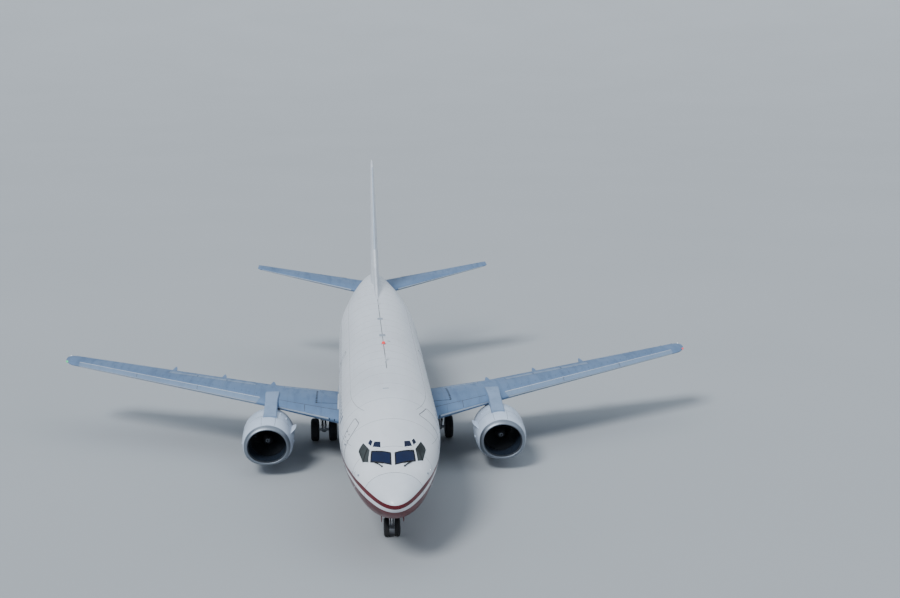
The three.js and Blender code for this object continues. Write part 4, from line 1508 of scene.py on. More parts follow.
WING = Airfoil((
    (900, 10875, 17250, 2195, 1890, 0.125), (1880, 11500, 17350, 2270, 2000, 0.12),
    (4890, 13420, 17640, 2510, 2315, 0.112), (14030, 18560, 20090, 3240, 3290, 0.1),
    (14180, 18730, 20112, 3256, 3296, 0.094), (14300, 18960, 20130, 3268, 3300, 0.085),
    (14390, 19210, 20040, 3282, 3300, 0.075), (HALF_SPAN, 19430, 19860, 3290, 3300, 0.06)), camber=0.012)
STABILIZER = Airfoil((
    (150, 27855, 31690, 4500, 4500, 0.1), (6120, 31970, 33335, 5230, 5230, 0.09),
    (6260, 32100, 33370, 5244, 5244, 0.075), (6350, 32290, 33400, 5255, 5255, 0.045)), steps=26)
FIN = Airfoil((
    (4950, 25820, 31430, 0, 0, 0.08), (6800, 27400, 31900, 0, 0, 0.083), (10930, 30930, 32900, 0, 0, 0.088),
    (11060, 31060, 32930, 0, 0, 0.075), (11130, 31270, 32940, 0, 0, 0.045)), upright=True, steps=26)
DORSAL = Airfoil((
    (5100, 21850, 29000, 0, 0, 0.034), (5300, 22500, 29000, 0, 0, 0.034), (5600, 23900, 29120, 0, 0, 0.042),
    (6200, 26100, 29350, 0, 0, 0.064), (6840, 27540, 29600, 0, 0, 0.09)), upright=True, steps=26)


def wick(end: Array, offsets: Sequence[Row]) -> Form:
    """A static wick behind a point of a trailing edge."""
    return pipe([end + np.array(offset) for offset in offsets], 5, 6)


@dataclass
class Wing:
    """A wing with its slats, flaps, aileron, track fairings and fittings."""

    slats: Table = ((5850, 13000), (13700, 17400), (13700, 18710), (5250, 13944))
    flaps: dict[str, Table] = field(default_factory=lambda: {
        "flap_inboard": ((2120, 16800), (4700, 17010), (4700, 18200), (2120, 18200)),
        "flap_outboard": ((5180, 16740), (10420, 18440), (9824, 20200), (5180, 18900))})
    tracks: Table = ((4900, 15700, 18250, 150, 240), (7150, 16300, 18900, 135, 230),
                               (9450, 17300, 19600, 120, 200))
    aileron: tuple[tuple[float, float], tuple[float, float]] = ((10480, 0.76), (12900, 0.76))
    spoilers: Table = ((2750, 4350), (5600, 6900), (6940, 8240), (8280, 9580))
    gap: float = 9.0
    leg: tuple[float, float, float, float] = (2615, 16450, 190, 2100)
    kink: float = 4900.0
    track_shape: Table = (
        (0, 0.1), (0.04, 0.36), (0.12, 0.65), (0.25, 0.88), (0.4, 1), (0.58, 0.97), (0.75, 0.85), (0.88, 0.6),
        (0.96, 0.32), (1, 0.08))
    wick_ends: Table = ((0, -25, 0), (0, 90, -4), (0, 190, -14))

    def track(self, row: Row) -> Form:
        """The canoe fairing of a flap track.

        Args:
            row: its place along the span, first and last station, half width and depth.

        Returns:
            The closed fairing.
        """
        x, s0, s1, half_width, depth = row
        section = WING.at(x)
        rows = []
        for stop, fat in self.track_shape:
            s = s0 + stop * (s1 - s0)
            share = min(1.0, (s - section[1]) / (section[2] - section[1]))
            _, middle, half = (float(v) for v in WING.chord(section, np.array(share)))
            rows.append(oval(turns_of(28), s, half_width * fat, middle, middle - half * 0.6,
                             middle - half - depth * fat, x))
        return skin(rows)

    def plan(self, outline: Sequence[Row], by: float = 0.0) -> Form:
        """A tall prism over an outline in plan."""
        shape = np.array(outline, float)
        return prism(spread(shape, by) if by else shape, Plane.PLAN, 1000, 5000)

    def panels(self) -> None:
        """The wing box, the slats, the flaps and the aileron."""
        whole = WING.form()
        turning, rest = WING.hinged(whole, *self.aileron)
        x, s, half, top = self.leg
        leg_slot = block(x - half, x + half, s - half, s + half, 1000, top)
        pockets = [self.plan(outline, self.gap) for outline in self.flaps.values()]
        inside = [shaped(pocket, [WING.form(0.5)], Cut.KEEP) for pocket in pockets]
        pair("wing", shaped(rest, [*pockets, self.plan(self.slats, 4), leg_slot]), Look.WING, stands_for="wing")
        pair("flap_tracks", [shaped(self.track(row), inside) for row in self.tracks], Look.WING)
        bands = [WING.edge_band(np.linspace(*ends), 0.0012) for ends in ((2350, 4700, 14), (5450, 13650, 40))]
        pair("wing_leading_edge", bands, Look.EDGE)
        pair("slats", shaped(whole, [self.plan(self.slats)], Cut.KEEP), Look.SLAT, stands_for="slats")
        for name, outline in self.flaps.items():
            pair(name, shaped(whole, [self.plan(outline)], Cut.KEEP), Look.WING, stands_for=name)
        pair("aileron", turning, Look.WING, "aileron", "aileron")

    def rear_line(self, x: float) -> float:
        """Station of the front edge of the flaps at a span."""
        a, b = self.flaps["flap_inboard" if x < self.kink else "flap_outboard"][:2]
        return a[1] + (b[1] - a[1]) * (x - a[0]) / (b[0] - a[0])

    def slat_line(self, x: float) -> float:
        """Station of the rear edge of the slats at a span."""
        (x1, s1), (x0, s0) = self.slats[2:]
        return s0 + (s1 - s0) * (x - x0) / (x1 - x0)

    def spoiler(self, x0: float, x1: float) -> tuple[Form, Form]:
        """A spoiler on the upper side.

        Args:
            x0: its inner end.
            x1: its outer end.

        Returns:
            The line round it and its plate.
        """
        depth = 600 if x0 > self.kink else 520
        front, rear = ([(x, self.rear_line(x) - back) for x in (x0, x1)] for back in (depth, 25))
        corners = [*front, *rear[::-1]]
        ring = [WING.side(*place) for place in dense(spread(np.array(corners), -16), True, 220)]
        low, top = (np.array([p + n * out for p, n in ring]) for out in (-4, 4))
        plate = skin([low.mean(0).reshape(1, 3), low, top, top.mean(0).reshape(1, 3) + [[0, 0, 3]]])
        return WING.drawn(corners, 14, 2.0), plate

    def marks(self) -> None:
        """Lines and plates on the upper side, and the access plates' lines on the lower side."""
        edge = [(x, self.slat_line(x) + 24) for x in np.linspace(5300, 13700, 36)]
        light = [WING.drawn(edge, 28, 3.0, closed=False),
                 WING.drawn([(1935, 12280), (1935, 15630)], 46, 4.0, closed=False, step=160)]
        nose = [(x, WING.station(x, 0.11)) for x in np.linspace(1950, 4430, 14)]
        stub = [(3350, WING.station(3350, 0) + 40), (3350, nose[7][1])]
        dark = [WING.drawn(nose, 30, 2.5, closed=False), WING.drawn(stub, 22, 2.5, closed=False, step=60)]
        for x in (8080, 10900):
            joint = [(x, WING.station(x, 0) + 30), (x, self.slat_line(x))]
            dark.append(WING.drawn(joint, 22, 2.0, closed=False, step=50))
        lines, plates = zip(*[self.spoiler(*ends) for ends in self.spoilers])
        aft = [(x, self.rear_line(x) + 620) for x in (5180, 10200)]
        root = [(2120, 17280), (4700, 17400)]
        dark += [*lines, *[WING.drawn(path, 14, 2.0, closed=False) for path in (aft, root)]]
        walkway = [WING.drawn([(1950, 13050), (2850, 13130)], 45, 2.0, closed=False)]
        for s in np.arange(13150, 16230, 280):
            walkway.append(WING.drawn([(2860, s), (2860, s + 160)], 80, 2.0, closed=False, step=60))
        for x in np.arange(4300, 13900, 640):
            s = WING.station(x, 0.42)
            ring = softened(rect(x - 90, x + 90, s - 55, s + 55), 50, 4)
            places = np.array([WING.side(*place, -1) for place in ring])
            dark.append(band(places[:, 0], places[:, 1], 10, 2.0))
        pair("wing_light_lines", light, Look.WHITE)
        pair("wing_panel_lines", dark, Look.SEALANT)
        pair("walkway_marks", walkway, Look.BLACK)
        pair("spoilers", plates, Look.SLAT)

    def fittings(self) -> None:
        """Vortex generators, wicks, lamps and the jacking pad."""
        small, clear = [], []
        vane = np.array([[0, -70, -6], [14, 70, -6], [14, 70, 45], [0, -40, 12]])
        for x in np.arange(5450, 13000, 330):
            place, _ = WING.side(x, self.slat_line(x) + 400)
            small.append(skin([place + vane, place + vane + [4, 0, 0]]))
        wicks = [wick(WING.end(x), self.wick_ends) for x in (10900, 11900, 12750, 13500, 14050)]
        for x in (2060, 2260):
            row = WING.at(x)
            lamp = [(0, -14), (40, -8), (58, 6), (62, 60), (0, 60)]
            clear.append(lathe(lamp, spot(x, row[1] + 26, row[3] - 4), (0.1, 1, 0.0), 32))
        lens = lathe([(0, -60), (26, -52), (44, -20), (50, 20), (46, 120), (0, 120)], spot(14300, 19010, 3276),
                     (0.5, 0.86, 0), 24)
        pair("vortex_generators", small, Look.BLACK)
        pair("wing_wicks", wicks, Look.BLACK)
        pair("landing_lamps", clear, Look.LENS)
        dress("tip_lamp_left", lens, Look.RED_LAMP)
        dress("tip_lamp_right", lens.mirrored(), Look.GREEN_LAMP)
        strobe = [(0, -10), (30, 0), (34, 40), (20, 70), (0, 78)]
        pair("tip_strobes", lathe(strobe, spot(14330, 20080, 3304), (0.3, 0.95, 0), 20), Look.CLEAR_LAMP)
        pair("jack_pads", rods(((3460, 14900, 2050), (3460, 14900, 2240), 60, 74, 28)), Look.GEAR)

    def build(self) -> None:
        """Both wings."""
        self.panels()
        self.marks()
        self.fittings()


@dataclass
class Tail:
    """The stabilizers, the fin and what turns on them."""

    elevator: tuple[tuple[float, float], tuple[float, float]] = ((1250, 0.69), (5900, 0.7))
    rudder: tuple[tuple[float, float], tuple[float, float]] = ((5700, 0.72), (10600, 0.72))
    hinges: Row = (2300, 3700, 5100)
    tail_wicks: Row = (4300, 4900, 5500)
    fin_wicks: Row = (9300, 9900, 10450)

    def build(self) -> None:
        """Both tails."""
        turning, rest = STABILIZER.hinged(STABILIZER.form(), *self.elevator)
        pair("stabilizer", rest, Look.WING, stands_for="stabilizer")
        pair("elevator", turning, Look.WING, "elevator", "elevator")
        whole = shaped(FIN.form(), [DORSAL.form()], Cut.JOIN)
        turning, rest = FIN.hinged(whole, *self.rudder)
        dress("fin", rest, Look.FIN, stands_for=["fin"])
        dress("rudder", turning, Look.FIN, "rudder", ["rudder"])
        self.lines()
        self.wicks()

    def lines(self) -> None:
        """Leading edges in bare metal, hinge fairings and tab lines."""
        pair("stabilizer_leading_edge", STABILIZER.edge_band(np.linspace(1250, 6100, 26), 0.004), Look.EDGE)
        dress("fin_leading_edge", FIN.edge_band(np.linspace(6950, 10900, 24), 0.01), Look.EDGE)
        fairing, seams = [(0, -190), (18, -150), (30, -60), (32, 40), (20, 130), (0, 190)], []
        for span in self.hinges:
            place, _ = STABILIZER.side(span, STABILIZER.station(span, 0.69) - 60, -1)
            seams.append(lathe(fairing, place + [0, 0, -4], AFT, 20))
        pair("elevator_hinge_fairings", seams, Look.WING)
        tab = STABILIZER.drawn([(1500, 32020), (3600, 32260), (3600, 32330), (1500, 32160)], 10, 2.0)
        pair("elevator_tab_lines", tab, Look.SEALANT, "elevator")

    def wicks(self) -> None:
        """Static wicks on the trailing edges."""
        on_tail = [wick(STABILIZER.end(x, 20), ((0, 0, 0), (0, 80, -3), (0, 165, -10))) for x in self.tail_wicks]
        on_fin = [wick(FIN.end(z, 20), ((0, 0, 0), (0, 80, 0), (0, 165, -4))) for z in self.fin_wicks]
        pair("elevator_wicks", on_tail, Look.BLACK, "elevator")
        dress("rudder_wicks", on_fin, Look.BLACK, "rudder")


# Engines


@dataclass
class Engine:
    """A nacelle, its fan, core, nozzle and pylon."""

    x: float = 4875.0
    z: float = 1435.0
    outer: Table = (
        (11100, 835, 2080, 1345, 640, 2.2), (11150, 905, 2148, 1345, 575, 2.3), (11260, 960, 2228, 1352, 535, 2.4),
        (11600, 1030, 2350, 1380, 492, 2.5), (12000, 1062, 2420, 1400, 475, 2.5),
        (12900, 1070, 2450, 1420, 462, 2.5), (13500, 1005, 2345, 1410, 540, 2.5),
        (14150, 850, 2130, 1400, 735, 2.2))
    inner: Table = (
        (11130, 800, 2042, 1350, 668, 2.2), (11190, 782, 2036, 1353, 685, 2.2), (11260, 775, 2040, 1358, 692, 2.2),
        (11600, 768, 2120, 1395, 684, 2.1), (11930, 765, 2200, 1435, 670, 2), (12900, 785, 2220, 1435, 650, 2),
        (13400, 830, 2225, 1432, 640, 2), (14150, 832, 2112, 1400, 753, 2.2))
    pieces: tuple[tuple[str, int, int, Look], ...] = (
        ("inlet_lip", 0, 2, Look.LIP), ("fan_cowl", 2, 5, Look.COWL), ("reverser_cowl", 5, 7, Look.COWL))
    facets: int = 96
    fan_radius: float = 750.0
    hub_radius: float = 190.0
    fan_station: float = 12080.0
    blades: int = 38
    vane_station: float = 12560.0
    vanes: int = 44
    ring_seams: Row = (12030, 12885)
    latches: Row = (11700, 12200, 12700)
    pylon_x: float = 4765.0
    pylon: Table = (
        (11890, 287, 2452, 2200), (12450, 272, 2550, 2200), (13300, 268, 2735, 2200), (14200, 300, 2790, 1900),
        (14600, 308, 2785, 1900), (14900, 300, 2690, 1900), (15900, 60, 2600, 2080))
    chine: Table = (
        (11600, 8), (11750, 80), (11950, 155), (12150, 195), (12550, 200), (12620, 180))
    dome: Table = (
        (0, 11750), (26, 11756), (70, 11780), (112, 11823), (150, 11880), (186, 11945), (215, 12000),
        (222, 12060), (215, 12160), (0, 12160))
    case: Table = (
        (0, 12164), (200, 12164), (212, 12350), (330, 12390), (430, 12420), (520, 12700), (550, 12900),
        (550, 14300), (0, 14300))
    nozzle: Table = (
        (547, 14302), (530, 14450), (490, 14750), (455, 14920), (426, 15050), (410, 15050), (418, 14920),
        (432, 14760), (440, 14302))
    plug: Table = (
        (0, 14400), (250, 14400), (255, 14740), (240, 14900), (205, 15050), (140, 15230), (84, 15360),
        (40, 15440), (0, 15450))
    gas: Table = ((0, 14000), (551, 14000), (551, 14310), (492, 14750), (428, 15052), (0, 15052))
    scoop: Table = ((-120, 3, 4), (-90, 26, 22), (-20, 36, 40), (60, 34, 36), (120, 20, 14))
    scoop_places: Table = ((12570, -28.5), (12540, -45.5), (12050, -93), (12050, 95))
    seam_lines: Table = ((13, 11900), (-19.5, 11900), (178, 12880), (182, 12880))

    @property
    def middle(self) -> Array:
        """The point of the axis at station 0."""
        return spot(self.x, 0, self.z)

    def section(self, row: Row, turns: Array, grow: float = 0.0) -> Array:
        """Points of one section of a skin.

        Args:
            row: station, half width, top, widest height, bottom and how square the lower half is.
            turns: angles from its top.
            grow: how far it stands off the skin.

        Returns:
            The points.
        """
        s, half, top, wide, bottom, square = row
        across, up = np.sin(turns), np.cos(turns)
        power = np.where(up > 0, 1.0, 2 / square)
        x = (half + grow) * np.sign(across) * np.abs(across) ** power
        z = (np.where(up > 0, top - wide, wide - bottom) + grow) * np.sign(up) * np.abs(up) ** power
        return np.stack([self.x + x, np.full(len(turns), NOSE_Y + s), wide + z], -1)

    def ring(self, row: Row, grow: float = 0.0) -> Array:
        """One section of a skin."""
        return self.section(row, (np.arange(self.facets) + 0.5) * 2 * math.pi / self.facets, grow)

    def between(self, table: Sequence[Row], s: float) -> Row:
        """A row of a skin at any station."""
        rows = np.array(table, float)
        return [s] + [float(steady(rows[:, 0], column, np.array(s))) for column in rows.T[1:]]

    def around(self, s: float, degrees: float, out: float = 0.0) -> Array:
        """A point on the outer skin at an angle from its top."""
        return self.section(self.between(self.outer, s), np.radians([degrees]), out)[0]

    def outward(self, place: Array) -> Array:
        """The direction from the axis to a point."""
        return unit((place - self.middle) * [1, 0, 1])

    def room(self, s: float) -> float:
        """How far the cowls' inner skins stand back from the duct, for its lining."""
        return 16 * min(1.0, (self.outer[-1][0] - s) / 160)

    def shell(self, s0: float, s1: float, outer: Sequence[Row], steps: int, liner: float = 0.0) -> Form:
        """A shell between an outer skin and the duct.

        Args:
            s0: its front.
            s1: its rear.
            outer: the rows of its outer skin.
            steps: sections along it.
            liner: its thickness where it lines the duct.

        Returns:
            The closed shell.
        """
        stops = np.linspace(s0, s1, steps)
        rings = [self.ring(self.between(outer, s)) for s in stops]
        rings += [self.ring(self.between(self.inner, s), liner or self.room(s)) for s in stops[::-1]]
        return skin(rings, closed=True)

    def cowls(self) -> None:
        """The skins with their lip and seams."""
        for name, first, last, look in self.pieces:
            s0, s1 = self.outer[first][0], self.outer[last][0] - (0 if last == len(self.outer) - 1 else 4)
            if first:
                form = self.shell(s0, s1, self.outer, 24)
            else:
                rows = [np.array(row) for row in (*self.outer[:3][::-1], *self.inner[:3])]
                rows[0][0], rows[-1][0] = s1, s1
                form = skin([self.ring(row) for row in smooth_path(rows, 10)], closed=True)
            pair(name, form, look, stands_for=name)
        seams = []
        for s in self.ring_seams:
            ring = self.ring(self.between(self.outer, s))
            seams.append(band(ring, unit((ring - ring.mean(axis=0)) * [1, 0, 1]), 10, 1.5))
        for degrees, rear in self.seam_lines:
            line = np.array([self.around(s, degrees) for s in np.linspace(11300, rear, 24)])
            seams.append(band(line, self.outward(line), 10, 1.5, closed=False))
        pair("cowl_seams", seams, Look.SEALANT)

    def cowl_fittings(self) -> None:
        """The strake on the inboard side of the fan cowl, latches and small scoops."""
        strake = []
        for s, height in self.chine:
            root = self.around(s, -68, -8)
            out = self.outward(root)
            side = np.cross(out, AFT)
            strake.append(np.array([root + out * rise + side * a
                                    for rise, a in ((0, -5), (height, -2), (height, 2), (0, 5))]))
        pair("nacelle_strakes", skin(strake), Look.COWL)
        latches = []
        for s in self.latches:
            for degrees in (150, -150):
                x, _, z = self.around(s, degrees)
                latches.append(block(x - 22, x + 22, s - 60, s + 60, z - 14, z + 10, 5))
        pair("cowl_latches", latches, Look.LIP)
        scoops, turns = [], turns_of(16)
        for s, degrees in self.scoop_places:
            place = self.around(s, degrees)
            out = self.outward(place)
            side = np.cross(out, AFT)
            scoops.append(skin([place + [0, a, 0] + np.outer(np.cos(turns), side) * w
                                + np.outer(np.sin(turns), out) * h for a, w, h in self.scoop]))
        pair("cowl_scoops", scoops, Look.COWL)

    def blade_row(self, rows: Sequence[Sequence], count: int, first: float = 0.0) -> list[Form]:
        """Equal blades round the axis, from sections of one as distance across, y and radius."""
        blade = skin([np.array(row) + [self.x, 0, self.z] for row in rows])
        return [blade.turned(360 * (i + first) / count, AFT, (self.x, 0, self.z)) for i in range(count)]

    def fan(self) -> None:
        """Blades and spinner."""
        chord = np.array([-1, -0.8, -0.45, 0, 0.45, 0.8, 1.0])
        rows = []
        for out in np.linspace(0, 1, 9):
            twist = math.radians(72 - 44 * out)
            wide, thick, bow = 62 + 34 * out - 14 * out ** 4, 9 - 6.2 * out, 9 * (1 - out) + 3
            section = [(c * wide, bow * (1 - c * c) + g * thick * (1 - c * c) ** 0.6) for g, cs in
                       ((1, chord), (-1, chord[::-1][1:-1])) for c in cs]
            rows.append([[a * math.cos(twist) - b * math.sin(twist),
                          NOSE_Y + self.fan_station + (a * math.sin(twist) + b * math.cos(twist)),
                          self.hub_radius + (self.fan_radius - self.hub_radius) * out] for a, b in section])
        pair("fan_hub", lathe(self.dome, self.middle, AFT, 64), Look.DARK, "fan_rotor", "fan")
        pair("fan_blades", self.blade_row(rows, self.blades), Look.TITANIUM, "fan_rotor")

    def spinner_mark(self) -> None:
        """The curl painted on the spinner."""
        rows = []
        radii, stations = np.array(self.dome[:7]).T
        for share in np.linspace(0, 1, 40):
            turn, radius = -2.4 + 2.5 * math.pi * share, 42 + 52 * share
            half = 14 - 9 * share ** 3
            ring = []
            for r, lift in ((radius - half, 3), (radius - half, -3), (radius + half, -3), (radius + half, 3)):
                s = float(np.interp(r, radii, stations)) - lift
                ring.append([self.x + r * math.sin(turn), NOSE_Y + s, self.z + r * math.cos(turn)])
            rows.append(np.array(ring))
        pair("spinner_mark", skin(rows), Look.GREY, "fan_rotor")

    def core(self) -> None:
        """The casing, outlet vanes, the hot nozzle with its plug and the duct's lining."""
        rows = []
        for out in np.linspace(0, 1, 4):
            turn, y = math.radians(20 - 8 * out), NOSE_Y + self.vane_station
            rows.append([[math.sin(turn) * a + g * 4, y + math.cos(turn) * a, 420 + 340 * out]
                         for a, g in ((-80, 0), (0, 1), (90, 0), (0, -1))])
        pair("engine_core", lathe(self.case, self.middle, AFT, 64), Look.DARK, stands_for="engine_core")
        pair("outlet_vanes", self.blade_row(rows, self.vanes, 0.5), Look.DUCT)
        nozzle = lathe(self.nozzle, self.middle, AFT, 64, closed=True)
        pair("exhaust_nozzle", nozzle, Look.HOT, stands_for="exhaust_nozzle")
        pair("exhaust_plug", lathe(self.plug, self.middle, AFT, 64), Look.HOT)
        for name, s0, s1 in (("inlet_liner", 11265, 12896), ("bypass_liner", 12901, 13990)):
            pair(name, self.shell(s0, s1, self.inner, 20, 12), Look.DUCT)

    def strut(self) -> None:
        """The pylon."""
        rows = np.array(self.pylon, float)
        rings = []
        for s in np.linspace(rows[0, 0], rows[-1, 0], 34):
            half, top, bottom = (float(steady(rows[:, 0], column, np.array(s))) for column in rows.T[1:])
            x, z = softened(rect(-half, half, bottom, top), min(half * 0.75, 60), 4).T
            rings.append(np.stack([self.pylon_x + x, NOSE_Y + s + 0 * x, z], -1))
        around = skin([self.ring(row, 1) for row in self.outer])
        gas = lathe(self.gas, self.middle, AFT, 48)
        pair("pylon", shaped(skin(rings), [around, gas]), Look.PYLON, stands_for="pylon")

    def build(self) -> None:
        """Both engines."""
        self.cowls()
        self.cowl_fittings()
        self.fan()
        self.spinner_mark()
        self.core()
        self.strut()


# Landing gear


@dataclass
class Wheels:
    """Twin wheels on an axle along X."""

    node: str
    body: str
    place: tuple[float, float, float]
    radius: float
    width: float
    spacing: float
    axle: float
    bolts: int
    wall: Table = (
        (0.12, 0.84), (0.3, 0.95), (0.5, 1.0), (0.7, 0.96), (0.85, 0.84), (0.95, 0.66))
    dish: Table = (
        (0, 0, -0.4), (1, -14, -0.4), (1, -10, -0.72), (1, 8, -0.8), (1, 10, -0.74), (1, -2, -0.64), (1, -2, 0.64),
        (1, 10, 0.74), (1, 8, 0.82), (1, -12, 0.78), (1, -22, 0.5), (0.72, 0, 0.34), (0.45, 0, 0.4),
        (0.34, 0, 0.62), (0.28, 0, 0.66), (0.24, 0, 0.78), (0, 0, 0.8))

    def tyre(self, x: float) -> Form:
        """One tyre with grooves round its tread.

        Args:
            x: its middle along the axle.

        Returns:
            The closed tyre about the axle.
        """
        r, h, rim = self.radius, self.width / 2, self.radius * 0.52
        side = [(rim, 0.72)] + [(rim + (r - rim) * out, wide) for out, wide in self.wall] + [(r * 0.997, 0.5)]
        tread = []
        for at in (0.34, 0.0, -0.34):
            tread += [(r, at + 0.035), (r - 9, at + 0.03), (r - 9, at - 0.03), (r, at - 0.035)]
        profile = side + tread + [(a, -b) for a, b in side[::-1]] + [(rim - 12, -0.68), (rim - 12, 0.68)]
        return lathe([(a, b * h) for a, b in profile], np.array([x, 0.0, 0.0]), (1, 0, 0), 72, closed=True)

    def hub(self, x: float, side: int) -> Form:
        """One wheel: rim flange, dish with holes drawn by bosses, bearing cap and bolts.

        Args:
            x: its middle along the axle.
            side: the direction in which its dish looks.

        Returns:
            Its forms about the axle.
        """
        r, h = self.radius * 0.52, self.width / 2
        dish = [(r * share + more, h * out) for share, more, out in self.dish]
        forms = [lathe(dish, np.array([x, 0.0, 0.0]), (side, 0, 0), 56)]
        for i in range(self.bolts):
            turn = 2 * math.pi * i / self.bolts
            for share, size, facets in ((0.58, r * 0.055, 14), (0.86, r * 0.03, 6)):
                centre = np.array([x + side * 0.30 * h, math.cos(turn) * r * share, math.sin(turn) * r * share])
                bolt = [(0, 0), (size, 0), (size, 0.13 * h + 4), (size * 0.6, 0.17 * h + 4), (0, 0.17 * h + 4)]
                forms.append(lathe(bolt, centre, (side, 0, 0), facets))
        return joined(forms)

    def build(self, mirror: bool = False) -> None:
        """Tyres, wheels and axle of one gear.

        Args:
            mirror: whether there is a second gear on the other side.
        """
        half, middle = self.spacing / 2, spot(*self.place)
        tyres = joined([self.tyre(side * half) for side in SIDES]).moved(middle)
        axle = rod(np.array([-half, 0, 0.0]), np.array([half, 0, 0.0]), self.axle)
        hubs = joined([self.hub(side * half, side) for side in SIDES] + [axle]).moved(middle)
        if mirror:
            pair(f"{self.node}_tyres", tyres, Look.TYRE, self.body, self.node)
            pair(f"{self.node}_hubs", hubs, Look.HUB, self.body)
        else:
            dress(f"{self.node}_tyres", tyres, Look.TYRE, self.body, [self.node])
            dress(f"{self.node}_hubs", hubs, Look.HUB, self.body)


@dataclass
class MainGear:
    """A main leg with its braces, links, brakes, lines and door."""

    x: float = 2615.0
    s: float = 16450.0
    axle_z: float = 508.0
    top: float = 2100.0

    def build(self) -> None:
        """Both main gears."""
        self.leg()
        self.links()
        self.door()
        place = (self.x, self.s, self.axle_z)
        Wheels("main_gear_wheels", "main_wheels", place, 508, 368, 800, 60, 9).build(mirror=True)
        ring = [lathe(rect(526, 556, z, z + 14), spot(950, self.s, 0), (0, 0, 1), 48, closed=True)
                for z in (1520, 1700)]
        pair("wheel_well_rings", ring, Look.WELL)

    def leg(self) -> None:
        """The leg with its brace and fittings, and the bright piston."""
        x, s, z = self.x, self.s, self.axle_z
        leg = [
            rods(((x, s, 980), (x, s, self.top), 150, 150, 40, 14), ((x, s, 960), (x, s, 1060), 164, 164, 40, 12),
                 ((x, s, 1560), (x, s, 1640), 162, 162, 40, 10), ((x - 30, s, 1240), (1720, s, 1740), 52, 60, 24),
                 ((x - 60, s, 1180), (x + 60, s, 1180), 70, 70, 24)),
            block(x - 56, x + 56, s + 100, s + 330, z - 55, z + 40, 12),
            rods(((x - 88, s, z), (x + 88, s, z), 124, 124, 40, 12)),
            block(x + 100, x + 235, s - 66, s + 66, 1355, 1485, 10)]
        pair("main_gear_leg", leg, Look.GEAR, stands_for="main_gear_leg")
        pair("main_gear_slider", rods(((x, s, z), (x, s, 1000), 104, 104, 40)), Look.CHROME)

    def links(self) -> None:
        """The torque links and the hoses."""
        x, s, z = self.x, self.s, self.axle_z
        links, hoses = [], []
        for side in (-1, 1):
            knee = spot(x + side * 20, s + 400, 830)
            links.append(pipe([spot(x + side * 34, s + 290, z), knee], 22, 12))
            links.append(pipe([knee, spot(x + side * 34, s + 120, 1150)], 22, 12))
            for radius, path in ((11, ((120, 100, 1500), (150, 130, 1150), (140, 190, 800), (90, 120, z + 90))),
                                 (9, ((60, -140, 1700), (90, -160, 1250), (80, -130, 1010)))):
                hoses.append(pipe(smooth_path([spot(x + side * a, s + b, c) for a, b, c in path]), radius))
        links.append(rods(((x - 60, s + 400, 830), (x + 60, s + 400, 830), 28, 28, 20),
                          ((x - 60, s + 120, 1150), (x + 60, s + 120, 1150), 34, 34, 20)))
        pair("main_gear_links", links, Look.GEAR)
        pair("main_gear_hoses", hoses, Look.BLACK)

    def door(self) -> None:
        """The door on the leg."""
        x, s = self.x, self.s
        outline = [[s - 300, 1070], [s + 260, 1070], [s + 330, 1300], [s + 330, 1960], [s - 350, 1960]]
        door = prism(softened(outline, 60, 4), Plane.SIDE, x + 237, x + 265, 6)
        pair("main_gear_door", shaped(door, [WING.form(1.0)]), Look.WHITE, stands_for="main_gear_door")


